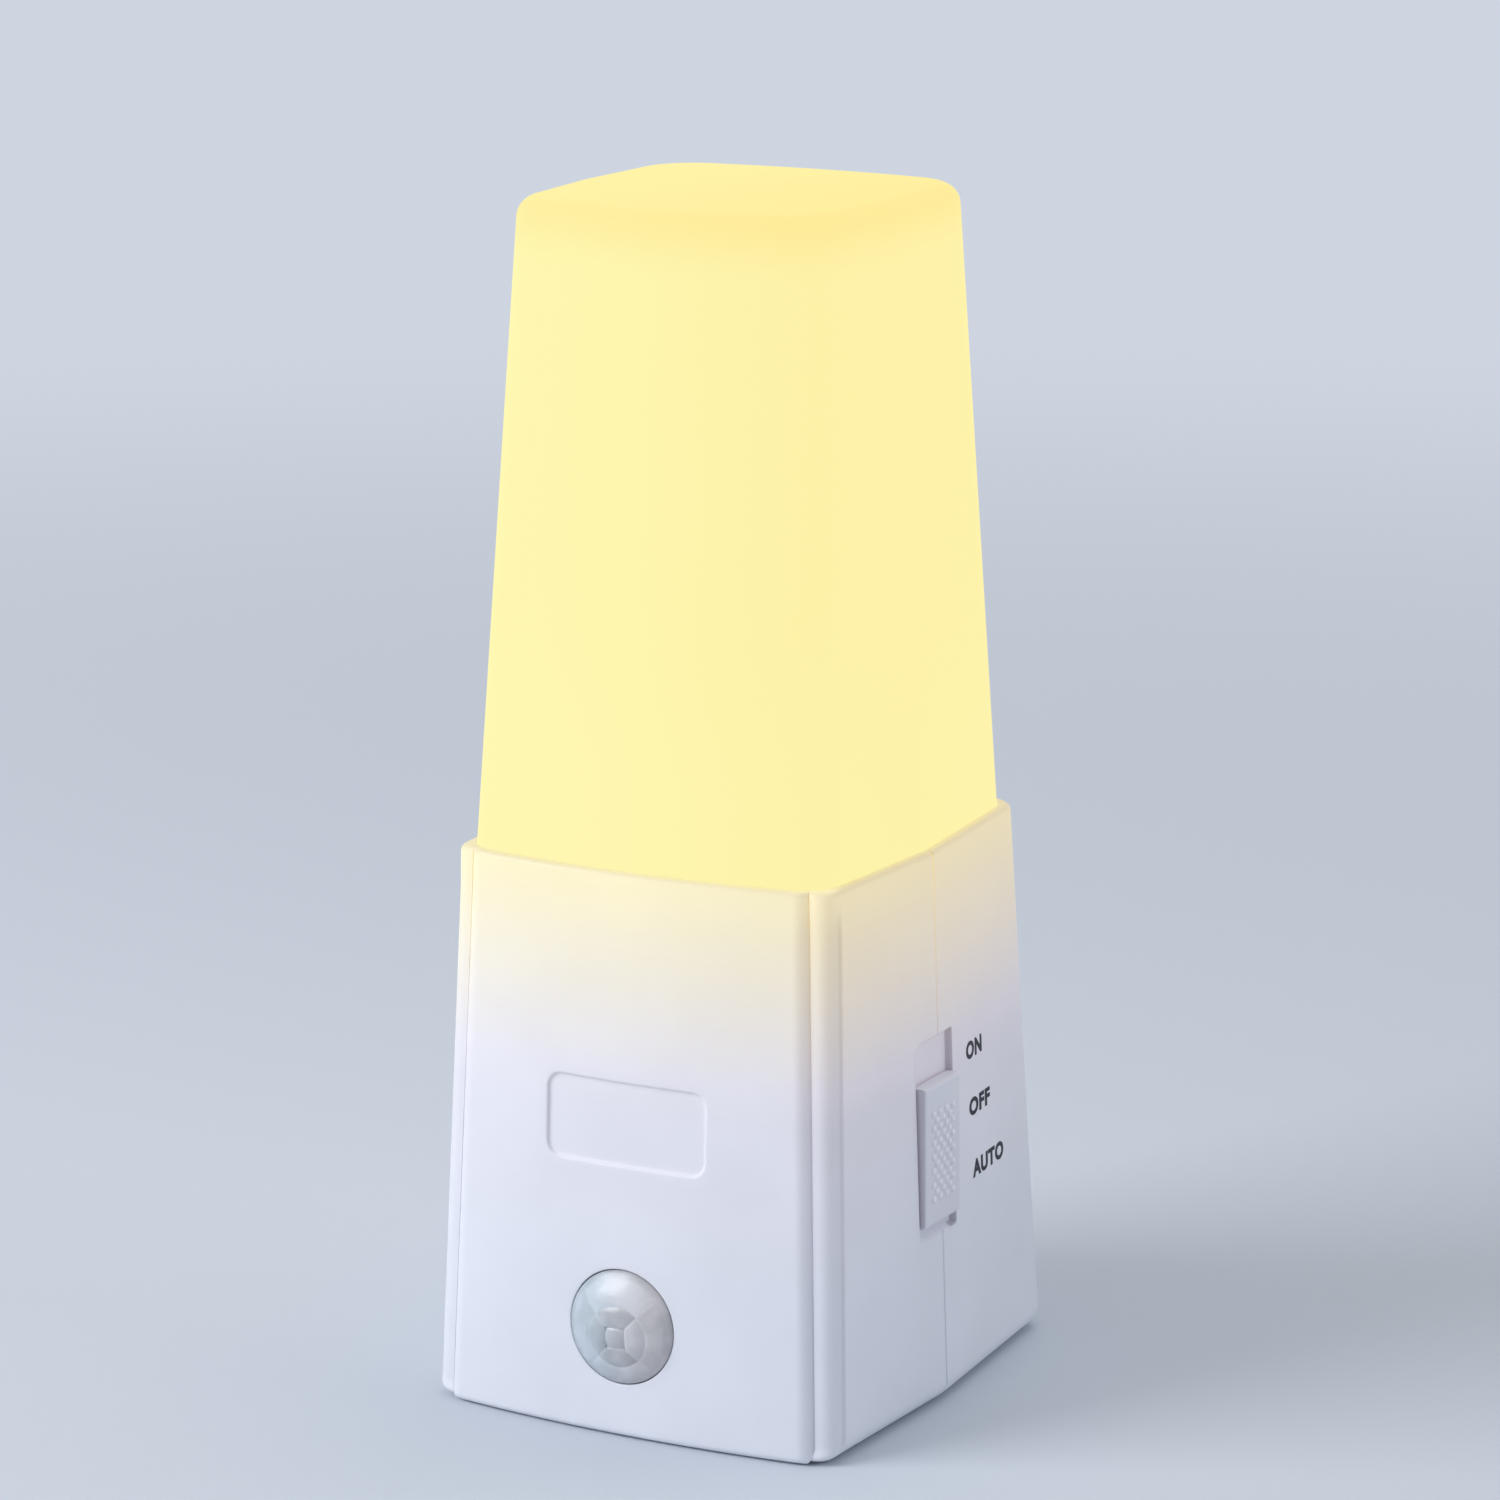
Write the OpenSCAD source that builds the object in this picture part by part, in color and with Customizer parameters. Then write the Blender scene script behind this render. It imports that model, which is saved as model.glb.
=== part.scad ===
// Battery night light with a motion sensor: a tapered white base in two halves,
// a tall warm diffuser, a sensor lens low on the front and a slide switch on one side.
// Millimetres. Z is up, the front faces -Y and the switch is on +X.
// The origin is on the floor, under the middle of the base.

/* [Base] */
// Height of the base's rim above the floor
base_h = 75; // [74:0.5:95]
// Width across the parting seam, at the rim
rim_w = 58; // [57:0.5:72]
// From the middle to the front face, at the rim
rim_front = 29.6; // [29:0.1:38]
// From the middle to the rear face, at the rim
rim_rear = 29.9; // [29.5:0.1:38]
// Lean of the side walls, in degrees
side_lean = 1.9; // [0.5:0.1:3.5]
// Lean of the front face, in degrees
front_lean = 2.6; // [0.5:0.1:4]
// Lean of the rear face, in degrees
rear_lean = 3.9; // [0.5:0.1:5]
// How much narrower each side is at the front corners than at the seam
front_draw = 1.3; // [0.5:0.1:2]
// How much narrower each side is at the rear corners than at the seam
rear_draw = 2.2; // [0.5:0.1:3]
// Where the parting seam lies, front to back
seam_y = -0.6; // [-2:0.1:2]
// Gap between the two halves at the seam
seam_gap = 0.2; // [0.1:0.05:0.4]
// Thickness of the shell
wall = 2; // [1.6:0.1:2.4]
// Thickness of the shell at the rim, outside the diffuser
rim_wall = 1.1; // [0.9:0.1:1.4]
// Round on the rim's outer edge
rim_round = 0.8; // [0.4:0.1:0.8]
// Round along the bottom edge
foot_round = 2.4; // [1:0.1:3]
// Radius of the rear corners, seen from above
rear_corner_r = 4.5; // [3:0.1:7]
// Depth of the seat for the light deck below the rim
ledge_drop = 7; // [6:0.5:9]

/* [Front panel] */
// How far the front panel stands proud of the corners
panel_step = 1; // [0.6:0.1:1.4]
// Width of the corner strip beside the panel
panel_inset = 2.9; // [2.4:0.1:4]
// How far the front bows out in the middle
front_bow = 1.8; // [0.5:0.1:2.5]
// Round on the panel's lower corners
panel_corner_r = 2.5; // [2.5:0.5:6]
// Height of the panel's lower edge above the floor
panel_z = 0.2; // [0.1:0.1:0.8]
// Width of the bare recess
recess_w = 23.4; // [10:0.2:34]
// Height of the bare recess
recess_h = 11.1; // [6:0.1:14]
// Height of the middle of the recess above the floor
recess_z = 42; // [38:0.5:50]
// Depth of the recess
recess_d = 0.45; // [0.2:0.05:0.6]
// Corner radius of the recess
recess_r = 2; // [1:0.1:3]

/* [Motion sensor] */
// Diameter of the sensor lens
lens_d = 15.2; // [13:0.1:17]
// How far the lens domes out of the front
lens_rise = 2.5; // [1.5:0.1:4]
// Height of the lens's middle above the floor
lens_z = 15; // [14.8:0.1:20]
// Thickness of the lens
lens_t = 0.8; // [0.6:0.1:1.2]
// Gap round the lens in its hole
lens_gap = 0.1; // [0.05:0.05:0.2]
// Depth of the circuit board behind the front face
board_d = 14.5; // [13.5:0.1:17]
// Width of the circuit board
board_w = 34; // [32:1:40]
// Height of the circuit board
board_h = 52; // [50:1:54]
// Thickness of the circuit boards
pcb_t = 1.6; // [1:0.1:2]

/* [Switch] */
// Height of the middle of the switch slot above the floor
slot_z = 36.9; // [36:0.1:40]
// Width of the switch slot
slot_w = 10.6; // [9.6:0.1:11.4]
// How far the middle of the slot lies in front of the seam
slot_shift = 0.8; // [0:0.1:1.2]
// Depth of the switch slot
slot_d = 1.3; // [1:0.1:1.6]
// Length of the switch knob
knob_l = 19; // [16:0.5:21]
// Travel of the knob from auto to on
knob_travel = 4; // [3:0.5:5]
// How far the knob stands out of the side
knob_out = 1; // [0.6:0.1:1.1]
// Gap on each side of the knob
knob_gap = 0.4; // [0.3:0.05:0.5]
// Gap between the knob and each end of its slot, at the ends of its travel
slot_end_gap = 1.9; // [1:0.1:2.5]

/* [Diffuser] */
// Height of the diffuser above the rim
dif_h = 84.3; // [60:0.1:110]
// Width across the top of the diffuser
dif_top_w = 48.5; // [40:0.1:54]
// From the middle to the front of the diffuser's top
dif_top_front = 24.4; // [21:0.1:27]
// From the middle to the rear of the diffuser's top
dif_top_rear = 24.4; // [21:0.1:27]
// Corner radius of the diffuser at the rim, seen from above
dif_corner_r = 5; // [4:0.1:7]
// Corner radius of the diffuser at its top, seen from above
dif_top_r = 9.1; // [5:0.1:12]
// How much narrower each side of the diffuser's top is at the rear corners than in the middle
dif_top_draw = 0.5; // [0.2:0.1:2]
// How far the rear of the diffuser's top bows out in the middle
dif_top_bow = 1; // [0:0.1:2]
// Wall of the diffuser
dif_wall = 1.8; // [1.6:0.1:2.4]
// Round along the diffuser's top edge
dif_round = 2.6; // [1.9:0.1:4]
// Rise of the diffuser's top in the middle
dif_crown = 0.5; // [0.2:0.1:2]
// Gap between the diffuser and the rim
dif_gap = 0.1; // [0.05:0.05:0.2]

/* [Batteries] */
// Diameter of a cell
cell_d = 14.2; // [13.5:0.1:14.5]
// Spacing of the three cells
cell_pitch = 14.5; // [14.5:0.1:14.8]
// Wall of the battery bay
bay_wall = 1.2; // [1:0.1:1.4]
// Thickness of the battery door
door_t = 1.8; // [1.4:0.1:2]
// Gap round the battery door
door_gap = 0.2; // [0.15:0.05:0.3]
// Diameter of the door's hinge pins
pin_d = 1.6; // [1.2:0.1:1.8]

/* [Fasteners and feet] */
// Diameter of the small screws
screw_d = 2; // [1.6:0.1:2.2]
// Diameter of the small screws' heads
screw_head_d = 3.8; // [3.4:0.1:4.2]
// Height of the small screws' heads
screw_head_h = 1.2; // [1:0.1:1.4]
// Gap round a screw in its hole
screw_gap = 0.06; // [0.04:0.01:0.1]
// Diameter of a rubber foot
foot_d = 9; // [6:0.5:10]
// Height of a rubber foot
foot_h = 0.5; // [0.4:0.1:1.5]
// Diameter of an inner wire
wire_d = 1.2; // [0.8:0.1:1.6]

/* [Hidden] */

$fn = 48;
white = [0.88, 0.9, 0.93];
glow = [1, 0.94, 0.66];
green = [0.1, 0.36, 0.2];
steel = [0.72, 0.72, 0.74];
black = [0.12, 0.12, 0.13];
cut = 1;
arc_n = 8;
bow_n = 10;
round_n = 5;
under_z = foot_h;
floor_z = under_z + wall;
ledge_z = base_h - ledge_drop;
deck_t = 1.5;
deck_top = ledge_z + deck_t;
flush_gap = 0.15;

// Plan sizes of the base at a height: the walls lean in towards the rim
function fall(z) = base_h - z;
function seam_half(z) = rim_w / 2 + fall(z) * tan(side_lean);
function front_dist(z) = rim_front + fall(z) * tan(front_lean);
function rear_dist(z) = rim_rear + fall(z) * tan(rear_lean);
function panel_half(z) = seam_half(z) - front_draw - panel_inset;
// How far a quarter round of radius r still draws in at a height h from its edge
function round_in(h, r) = h >= r ? 0 : r - sqrt(r * r - (r - h) * (r - h));
function blend(a, b, t) = a + (b - a) * t;
function arc_points(c, r, from, to) =
    [for (i = [0:arc_n]) c + r * [cos(blend(from, to, i / arc_n)), sin(blend(from, to, i / arc_n))]];

// Half of a plan outline, seam end to seam end round the far side.
// dir is 1 for the front half and -1 for the rear half, which is turned half round.
// The side walls run on straight past the seam by lap.
function half_plan(dir, half_seam, half_far, dist, bow, r, seam_end, lap) =
    let(flat = half_far - r)
    let(corner_y = -(dist - bow - r))
    let(half_end = half_seam + lap * (half_seam - half_far) / (seam_end - corner_y))
    [for (p = concat(
        [[-half_end, seam_end + lap]],
        arc_points([-flat, corner_y], r, 180, 270),
        [for (i = [1:bow_n - 1]) let(t = 2 * i / bow_n - 1) [flat * t, -dist + bow * t * t]],
        arc_points([flat, corner_y], r, 270, 360),
        [[half_end, seam_end + lap]])) dir * p];

// A closed solid through a stack of outlines, each with the same number of points
module loft(rings) {
    n = len(rings[0]);
    m = len(rings);
    sides = [for (k = [0:m - 2]) for (i = [0:n - 1])
        let(a = k * n + i, d = k * n + (i + 1) % n)
        each [[a, a + n, d + n], [a, d + n, d]]];
    caps = [[for (i = [0:n - 1]) i], [for (i = [n - 1:-1:0]) (m - 1) * n + i]];
    polyhedron([for (ring = rings) each ring], concat(sides, caps), convexity = 6);
}
function at_height(plan, z) = [for (p = plan) [p[0], p[1], z]];

// One half of the base's outside or of its hollow, drawn in by inset at a height
function base_plan(dir, z, inset, front_inset, r, lap) = dir > 0
    ? half_plan(1, seam_half(z) - inset, seam_half(z) - front_draw - inset,
        front_dist(z) - front_inset, front_bow, r, seam_y - seam_gap / 2, lap)
    : half_plan(-1, seam_half(z) - inset, seam_half(z) - rear_draw - inset,
        rear_dist(z) - inset, 0, r, -seam_y - seam_gap / 2, lap);
module base_half(dir) {
    corner_r = dir > 0 ? panel_inset : rear_corner_r;
    bottom = [for (k = [0:round_n]) foot_round * (1 - cos(90 * k / round_n))];
    top = [for (k = [0:round_n]) rim_round * (1 - sin(90 * k / round_n))];
    loft(concat(
        [for (h = bottom) let(z = under_z + h, inset = round_in(h, foot_round))
            at_height(base_plan(dir, z, inset, inset + panel_step, corner_r, 0), z)],
        [for (h = top) let(z = base_h - h, inset = round_in(h, rim_round))
            at_height(base_plan(dir, z, inset, inset + panel_step, corner_r, 0), z)]));
}
// The hollow is wider above the ledge, where the diffuser and its deck sit
module base_hollow(dir) {
    low_r = dir > 0 ? panel_inset : rear_corner_r - wall;
    high_r = dif_corner_r + dif_gap;
    loft([for (z = [floor_z, ledge_z + cut])
        at_height(base_plan(dir, z, wall, wall + panel_step, low_r, cut), z)]);
    loft([for (z = [ledge_z, base_h + cut])
        at_height(base_plan(dir, z, rim_wall, rim_wall, high_r, cut), z)]);
}

// The raised front panel: rounded upright edges, rounded lower corners, a bowed face
panel_edge_r = panel_step * 0.9;
panel_deep = panel_step + wall + front_bow + cut;
function panel_front(z, t) = -front_dist(z) + front_bow * t * t;
module front_panel() {
    low = [for (k = [0:arc_n]) panel_corner_r * (1 - cos(90 * k / arc_n))];
    high = [for (k = [0:round_n]) rim_round * (1 - sin(90 * k / round_n))];
    loft([for (z = concat([for (h = low) panel_z + h], [for (h = high) base_h - h]))
        let(half = panel_half(z) - round_in(z - panel_z, panel_corner_r))
        let(flat = half - panel_edge_r)
        let(set = max(round_in(z - panel_z, panel_edge_r), round_in(base_h - z, rim_round)))
        let(edge_y = panel_front(z, 1) + set + panel_edge_r)
        at_height(concat(
            arc_points([-flat, edge_y], panel_edge_r, 180, 270),
            [for (i = [1:bow_n - 1]) let(t = 2 * i / bow_n - 1) [flat * t, panel_front(z, t) + set]],
            arc_points([flat, edge_y], panel_edge_r, 270, 360),
            [[half, -front_dist(z) + panel_deep], [-half, -front_dist(z) + panel_deep]]), z)]);
}
// The bare recess: a rounded rectangle sunk to one depth below the bowed face
module recess_cut() {
    intersection() {
        at_front(recess_z) recess_prism();
        loft([for (z = [recess_z - recess_h, recess_z + recess_h])
            let(flat = panel_half(z) - panel_edge_r)
            at_height(concat(
                [[-flat, -front_dist(z) - 2 * cut], [flat, -front_dist(z) - 2 * cut]],
                [for (i = [bow_n:-1:0])
                    let(t = 2 * i / bow_n - 1) [flat * t, panel_front(z, t) + recess_d]]), z)]);
    }
}

// Frames on the leaning faces: the faces lie in X-Z for the front and rear, in Y-Z for the side
module at_front(z) { translate([0, -front_dist(z), z]) rotate([-front_lean, 0, 0]) children(); }
module at_rear(z) { translate([0, rear_dist(z), z]) rotate([rear_lean, 0, 0]) children(); }
module at_side(z) { translate([seam_half(z), seam_y, z]) rotate([0, -side_lean, 0]) children(); }
// Blocks and rods given by their ends
module block(a, b) { translate(a) cube(b - a); }
module rod_y(x, z, from, to, d) {
    translate([x, from, z]) rotate([-90, 0, 0]) cylinder(h = to - from, d = d);
}
module rod_x(y, z, from, to, d) {
    translate([from, y, z]) rotate([0, 90, 0]) cylinder(h = to - from, d = d);
}
module rod_z(x, y, from, to, d) { translate([x, y, from]) cylinder(h = to - from, d = d); }

// Places that two or more pieces share
inner_d = panel_step + wall;
post_d = 5.6;
bore_d = screw_d + 2 * screw_gap;
board_lift = 1.5;
board_low = -lens_z + floor_z + board_lift;
board_top = board_low + board_h;
board_mid = board_low + board_h / 2;
post_in = [4, 4, 6];
board_posts = [for (s = [-1, 1], z = [board_low + post_in[1], board_top - post_in[2]])
    [s * (board_w / 2 - post_in[0]), z]];
seat_d = lens_d + 2 * lens_gap;
flange_d = lens_d + 2.6;
tube_d = flange_d + 3.6;
seat_y = inner_d + 0.7;
flange_t = 0.9;
ring_t = 2;
ring_lip = 1;
slot_half = (knob_l + knob_travel) / 2 + slot_end_gap;
pad_edge = 2.4;
pad_front = slot_w / 2 + slot_shift + pad_edge;
pad_rear = slot_w / 2 - slot_shift + pad_edge;
pad_z = slot_half + 3;
pad_in = slot_d + 1.7;
stem_y = 3.8;
stem_z = 5.2;
stem_gap = 0.4;
lever_y = 2;
lever_z = 3;
switch_in = pad_in + 3;
switch_t = 5.5;
switch_y = 6.6;
switch_z = 17;
switch_post = [-3.5, switch_z / 2 + 3.8];
switch_post_d = 4.6;
tray_in = switch_in + switch_t;
deck_post_in = 3.1;
deck_post_x = rim_w / 2 - rim_wall - dif_gap - dif_wall - deck_post_in;
deck_posts = [[deck_post_x, -14], [deck_post_x, 7.5]];
deck_post_l = 9;
deck_web = 1.5;
close_at = [20, 5.5];
close_top = 9.5;
lug_half = 4;
lug_root = 8;
lug_lift = 0.2;
bite = 0.5;
bay_gap = 0.3;
contact_t = 0.4;
spring_l = 4.5;
// The cells fill the height between the door's hinge and the light deck
bay_below = 7.6;
bay_above = 2.1;
cell_l = ledge_z - floor_z - bay_below - bay_above - spring_l - 2 * contact_t;
bay_half_x = cell_pitch + cell_d / 2 + bay_gap;
bay_half_z = (cell_l + spring_l) / 2 + contact_t;
bay_z = floor_z + bay_below + bay_half_z;
bay_front = door_t + 0.3;
cell_y = -(bay_front + cell_d / 2);
bay_back = bay_front + cell_d + 0.2;
door_half_x = bay_half_x + 0.8;
door_top = bay_half_z + 0.8;
door_low = -bay_half_z - 0.3;
knuckle_d = 3.4;
hinge_y = -knuckle_d / 2;
hinge_z = -bay_half_z - 3.1;
knuckle_w = 6;
// The door's inner lower edge swings down past the face, so its opening reaches below that
swing_gap = 0.3;
swing_r = norm([door_t + hinge_y, door_low - hinge_z]);
opening_low = hinge_z + sqrt(swing_r * swing_r - hinge_y * hinge_y) - swing_gap;
knuckles_x = [-13, 13];
pin_half = knuckle_w / 2 + 2.2;
pin_end = 0.2;
pin_grip = 0.02;
pin_play = 0.06;
lead_x = cell_pitch;
tab_w = 3;
tab_out = 3;
tab_gap = [0.2, 0.1];

module screw(l) {
    cylinder(h = screw_head_h, d = screw_head_d);
    translate([0, 0, -l]) cylinder(h = l, d = screw_d);
}

// Knob slot and the hole for its stem, cut from both halves of the base
module switch_cut() {
    at_side(slot_z) {
        block([-slot_d, -slot_shift - slot_w / 2, -slot_half], [cut, -slot_shift + slot_w / 2, slot_half]);
        block([-pad_in - cut, -stem_y / 2 - stem_gap, -knob_travel / 2 - stem_z / 2 - stem_gap],
            [0, stem_y / 2 + stem_gap, knob_travel / 2 + stem_z / 2 + stem_gap]);
    }
}
module deck_post(s, p) {
    rod_z(s * p[0], p[1], ledge_z - deck_post_l, ledge_z, post_d);
    tip = p[0] + post_d / 2 + deck_web;
    block([min(s * p[0], s * tip), p[1] - post_d / 2, ledge_z - deck_post_l],
        [max(s * p[0], s * tip), p[1] + post_d / 2, ledge_z]);
}
module deck_bore(x, y) { rod_z(x, y, ledge_z - deck_post_l + 1.5, ledge_z + cut, bore_d); }

module front_shell() color(white) difference() {
    union() {
        difference() {
            union() {
                base_half(1);
                front_panel();
            }
            recess_cut();
            base_hollow(1);
        }
        at_front(lens_z) {
            for (p = board_posts) rod_y(p[0], p[1], inner_d - bite, board_d, post_d);
            rod_y(0, 0, panel_step + bite, seat_y + flange_t + ring_t, tube_d);
        }
        for (s = [-1, 1]) {
            deck_post(s, deck_posts[0]);
            block([s * close_at[0] - lug_half, seam_y - lug_root, floor_z - bite],
                [s * close_at[0] + lug_half, seam_y - bite, close_top]);
            block([s * close_at[0] - lug_half, seam_y - 2 * bite, floor_z + lug_lift],
                [s * close_at[0] + lug_half, close_at[1] + lug_half, close_top]);
        }
        at_side(slot_z) {
            block([-pad_in, -pad_front, -pad_z], [-slot_d / 2, -seam_gap / 2, pad_z]);
            for (z = [-1, 1])
                rod_x(switch_post[0], z * switch_post[1], -tray_in, -pad_in + bite, switch_post_d);
        }
    }
    at_front(lens_z) {
        rod_y(0, 0, -cut - front_bow, seat_y + cut, seat_d);
        rod_y(0, 0, seat_y, seat_y + flange_t + ring_t + cut, flange_d + 2 * lens_gap);
        for (p = board_posts) rod_y(p[0], p[1], inner_d + 1, board_d + cut, bore_d);
    }
    for (s = [-1, 1]) {
        deck_bore(s * deck_posts[0][0], deck_posts[0][1]);
        rod_z(s * close_at[0], close_at[1], floor_z, close_top - 1, bore_d);
    }
    switch_cut();
    at_side(slot_z) for (z = [-1, 1])
        rod_x(switch_post[0], z * switch_post[1], -tray_in - cut, -pad_in - bite, bore_d);
}
module recess_prism() {
    x = recess_w / 2 - recess_r;
    z = recess_h / 2 - recess_r;
    for (p = [[-x, -z], [x, -z], [x, z], [-x, z]]) rod_y(p[0], p[1], -cut, inner_d - bite, 2 * recess_r);
    block([-recess_w / 2, -cut, -z], [recess_w / 2, inner_d - bite, z]);
    block([-x, -cut, -recess_h / 2], [x, inner_d - bite, recess_h / 2]);
}

module rear_shell() color(white) difference() {
    union() {
        difference() {
            base_half(-1);
            base_hollow(-1);
        }
        at_rear(bay_z) {
            block([-bay_half_x - bay_wall, -bay_back - bay_wall, -bay_half_z - bay_wall],
                [bay_half_x + bay_wall, -wall / 2, bay_half_z + bay_wall]);
            for (x = knuckles_x)
                block([x - pin_half - bay_wall, -knuckle_d - bay_wall, hinge_z - knuckle_d / 2 - bay_wall],
                    [x + pin_half + bay_wall, -wall / 2, -bay_half_z - bay_wall / 2]);
        }
        for (s = [-1, 1]) deck_post(s, deck_posts[1]);
        at_side(slot_z) block([-pad_in, seam_gap / 2, -pad_z], [-slot_d / 2, pad_rear, pad_z]);
    }
    at_rear(bay_z) {
        block([-bay_half_x, -bay_back, -bay_half_z], [bay_half_x, cut, bay_half_z]);
        block([-door_half_x - door_gap, -bay_front, opening_low],
            [door_half_x + door_gap, cut, door_top + door_gap]);
        for (x = knuckles_x) {
            half_w = knuckle_w / 2 + door_gap;
            half_d = knuckle_d / 2 + door_gap;
            block([x - half_w, hinge_y - half_d, hinge_z - half_d], [x + half_w, cut, hinge_z + half_d]);
            block([x - half_w, -bay_front, hinge_z], [x + half_w, cut, door_low]);
            rod_x(hinge_y, hinge_z, x - pin_half - pin_end, x + pin_half + pin_end, pin_d + 2 * pin_grip);
        }
        lead_slot(-1);
        lead_slot(1);
    }
    for (s = [-1, 1]) {
        deck_bore(s * deck_posts[1][0], deck_posts[1][1]);
        rod_z(s * close_at[0], close_at[1], under_z - cut, floor_z + cut, bore_d);
        rod_z(s * close_at[0], close_at[1], under_z - cut, under_z + screw_head_h,
            screw_head_d + 4 * screw_gap);
    }
    switch_cut();
}
// Slot in the bay's back for the solder tab of an end contact
module lead_slot(s) {
    z = s * (bay_half_z - contact_t / 2);
    half_w = tab_w / 2 + tab_gap[0];
    half_t = contact_t / 2 + tab_gap[1];
    block([s * lead_x - half_w, -bay_back - bay_wall - cut, z - half_t],
        [s * lead_x + half_w, -bay_back + cut, z + half_t]);
}

// Plan of the diffuser at a share t of its height, drawn in by inset
dif_least_r = 2;
function dif_plan(t, inset) =
    let(edge = rim_wall + dif_gap)
    let(half = blend(rim_w / 2 - edge, dif_top_w / 2, t) - inset)
    let(draw_front = blend(front_draw, front_draw * 0.8, t))
    let(draw_rear = blend(rear_draw, dif_top_draw, t))
    let(r = max(blend(dif_corner_r, dif_top_r, t) - inset, dif_least_r))
    let(front = half_plan(1, half, half - draw_front, blend(rim_front - edge, dif_top_front, t) - inset,
        front_bow, r, seam_y, 0))
    let(rear = half_plan(-1, half, half - draw_rear, blend(rim_rear - edge, dif_top_rear, t) - inset,
        dif_top_bow * t, r, -seam_y, 0))
    concat(front, [for (i = [1:len(rear) - 2]) rear[i]]);
function scaled_plan(plan, k) = [for (p = plan) k * p];
module diffuser_form(inset, low, top, crown) {
    edge = max(dif_round - inset, 0.2);
    rounds = [for (k = [0:round_n]) edge * (1 - sin(90 * k / round_n))];
    loft(concat(
        [at_height(dif_plan(0, inset), low), at_height(dif_plan(0, inset), base_h)],
        [for (h = rounds) let(z = top - h)
            at_height(dif_plan((z - base_h) / dif_h, inset + round_in(h, edge)), z)],
        [for (k = [0.8, 0.55, 0.25])
            at_height(scaled_plan(dif_plan((top - base_h) / dif_h, inset + edge), k),
                top + crown * (1 - k * k))]));
}
hooks = [[1, seam_y], [-1, seam_y]];
hook_w = 7;
hook_t = 0.8;
hook_drop = 1.6;
hook_catch = 0.6;
hook_gap = 0.1;
hook_x = rim_w / 2 - rim_wall - dif_gap - dif_wall - hook_gap;
module diffuser() color(glow) {
    difference() {
        diffuser_form(0, deck_top, base_h + dif_h, dif_crown);
        diffuser_form(dif_wall, deck_top - cut, base_h + dif_h - dif_wall, dif_crown);
    }
    for (h = hooks) {
        inner = h[0] * hook_x;
        outer = h[0] * (hook_x + hook_t);
        catch = inner - h[0] * hook_catch;
        block([min(inner, outer), h[1] - hook_w / 2, ledge_z - hook_drop],
            [max(inner, outer), h[1] + hook_w / 2, deck_top + hook_t]);
        block([min(inner, catch), h[1] - hook_w / 2, ledge_z - hook_drop],
            [max(inner, catch), h[1] + hook_w / 2, ledge_z - hook_gap]);
    }
}

// Dome with a short collar and a flange behind the front wall, turned about the lens axis
lens_ball = (lens_d * lens_d / 4 + lens_rise * lens_rise) / (2 * lens_rise);
lens_edge = asin(lens_d / 2 / lens_ball);
lens_inner_edge = asin((lens_d / 2 - lens_t) / (lens_ball - lens_t));
function dome_points(r, a) =
    [for (i = [0:arc_n]) [r * sin(a * i / arc_n), lens_rise - lens_ball + r * cos(a * i / arc_n)]];
module pir_lens() color([0.86, 0.88, 0.88]) at_front(lens_z) rotate([90, 0, 0]) rotate_extrude()
    polygon(concat(
        dome_points(lens_ball, lens_edge),
        [[lens_d / 2, -seat_y], [flange_d / 2, -seat_y], [flange_d / 2, -seat_y - flange_t],
            [lens_d / 2 - lens_t, -seat_y - flange_t]],
        [for (i = [arc_n:-1:0]) dome_points(lens_ball - lens_t, lens_inner_edge)[i]]));
module lens_retainer() color(black) at_front(lens_z) difference() {
    rod_y(0, 0, seat_y + flange_t, seat_y + flange_t + ring_t, flange_d);
    rod_y(0, 0, seat_y + flange_t - cut, seat_y + flange_t + ring_t + cut, lens_d - ring_lip);
}

// Sensor board on its posts, with its parts
module main_board() color(green) at_front(lens_z) difference() {
    block([-board_w / 2, board_d, board_low], [board_w / 2, board_d + pcb_t, board_low + board_h]);
    for (p = board_posts) rod_y(p[0], p[1], board_d - cut, board_d + pcb_t + cut, bore_d);
}
module board_screws() color(steel) at_front(lens_z) for (p = board_posts)
    translate([p[0], board_d + pcb_t, p[1]]) rotate([-90, 0, 0]) screw(board_screw_l);
board_screw_l = 7;
can_d = 8.2;
can_h = 4.2;
can_rim = [9.2, 0.6];
can_window = [4, 3, 0.3];
module pir_sensor() color(steel) at_front(lens_z) {
    difference() {
        rod_y(0, 0, board_d - can_h, board_d, can_d);
        block([-can_window[0] / 2, board_d - can_h - cut, -can_window[1] / 2],
            [can_window[0] / 2, board_d - can_h + can_window[2], can_window[1] / 2]);
    }
    rod_y(0, 0, board_d - can_rim[1], board_d, can_rim[0]);
}
eye_z = 7.4;
eye_d = 4.4;
eye_t = 1.8;
eye_lift = 0.4;
eye_legs = [-1.2, 1.2];
eye_leg_d = 0.6;
module light_sensor() color([0.75, 0.4, 0.25]) at_front(lens_z) {
    rod_y(0, eye_z, board_d - eye_lift - eye_t, board_d - eye_lift, eye_d);
    for (x = eye_legs) rod_y(x, eye_z, board_d - eye_lift - eye_t / 2, board_d, eye_leg_d);
}
chip = [10, 1.5, 4];
chip_up = 3;
chip_z = board_mid + chip_up;
chip_lift = 0.2;
chip_leg = [0.4, 0.7, 1.2];
chip_pitch = 1.27;
module control_chip() color(black) at_front(lens_z) {
    y = board_d + pcb_t;
    block([-chip[0] / 2, y + chip_lift, chip_z - chip[2] / 2],
        [chip[0] / 2, y + chip_lift + chip[1], chip_z + chip[2] / 2]);
    for (i = [0:7], s = [-1, 1]) {
        x = chip_pitch * (i - 3.5);
        z = chip_z + s * (chip[2] / 2 + chip_leg[2] * 0.4);
        block([x - chip_leg[0] / 2, y, z - chip_leg[2] / 2],
            [x + chip_leg[0] / 2, y + chip_leg[1], z + chip_leg[2] / 2]);
    }
}
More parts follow.
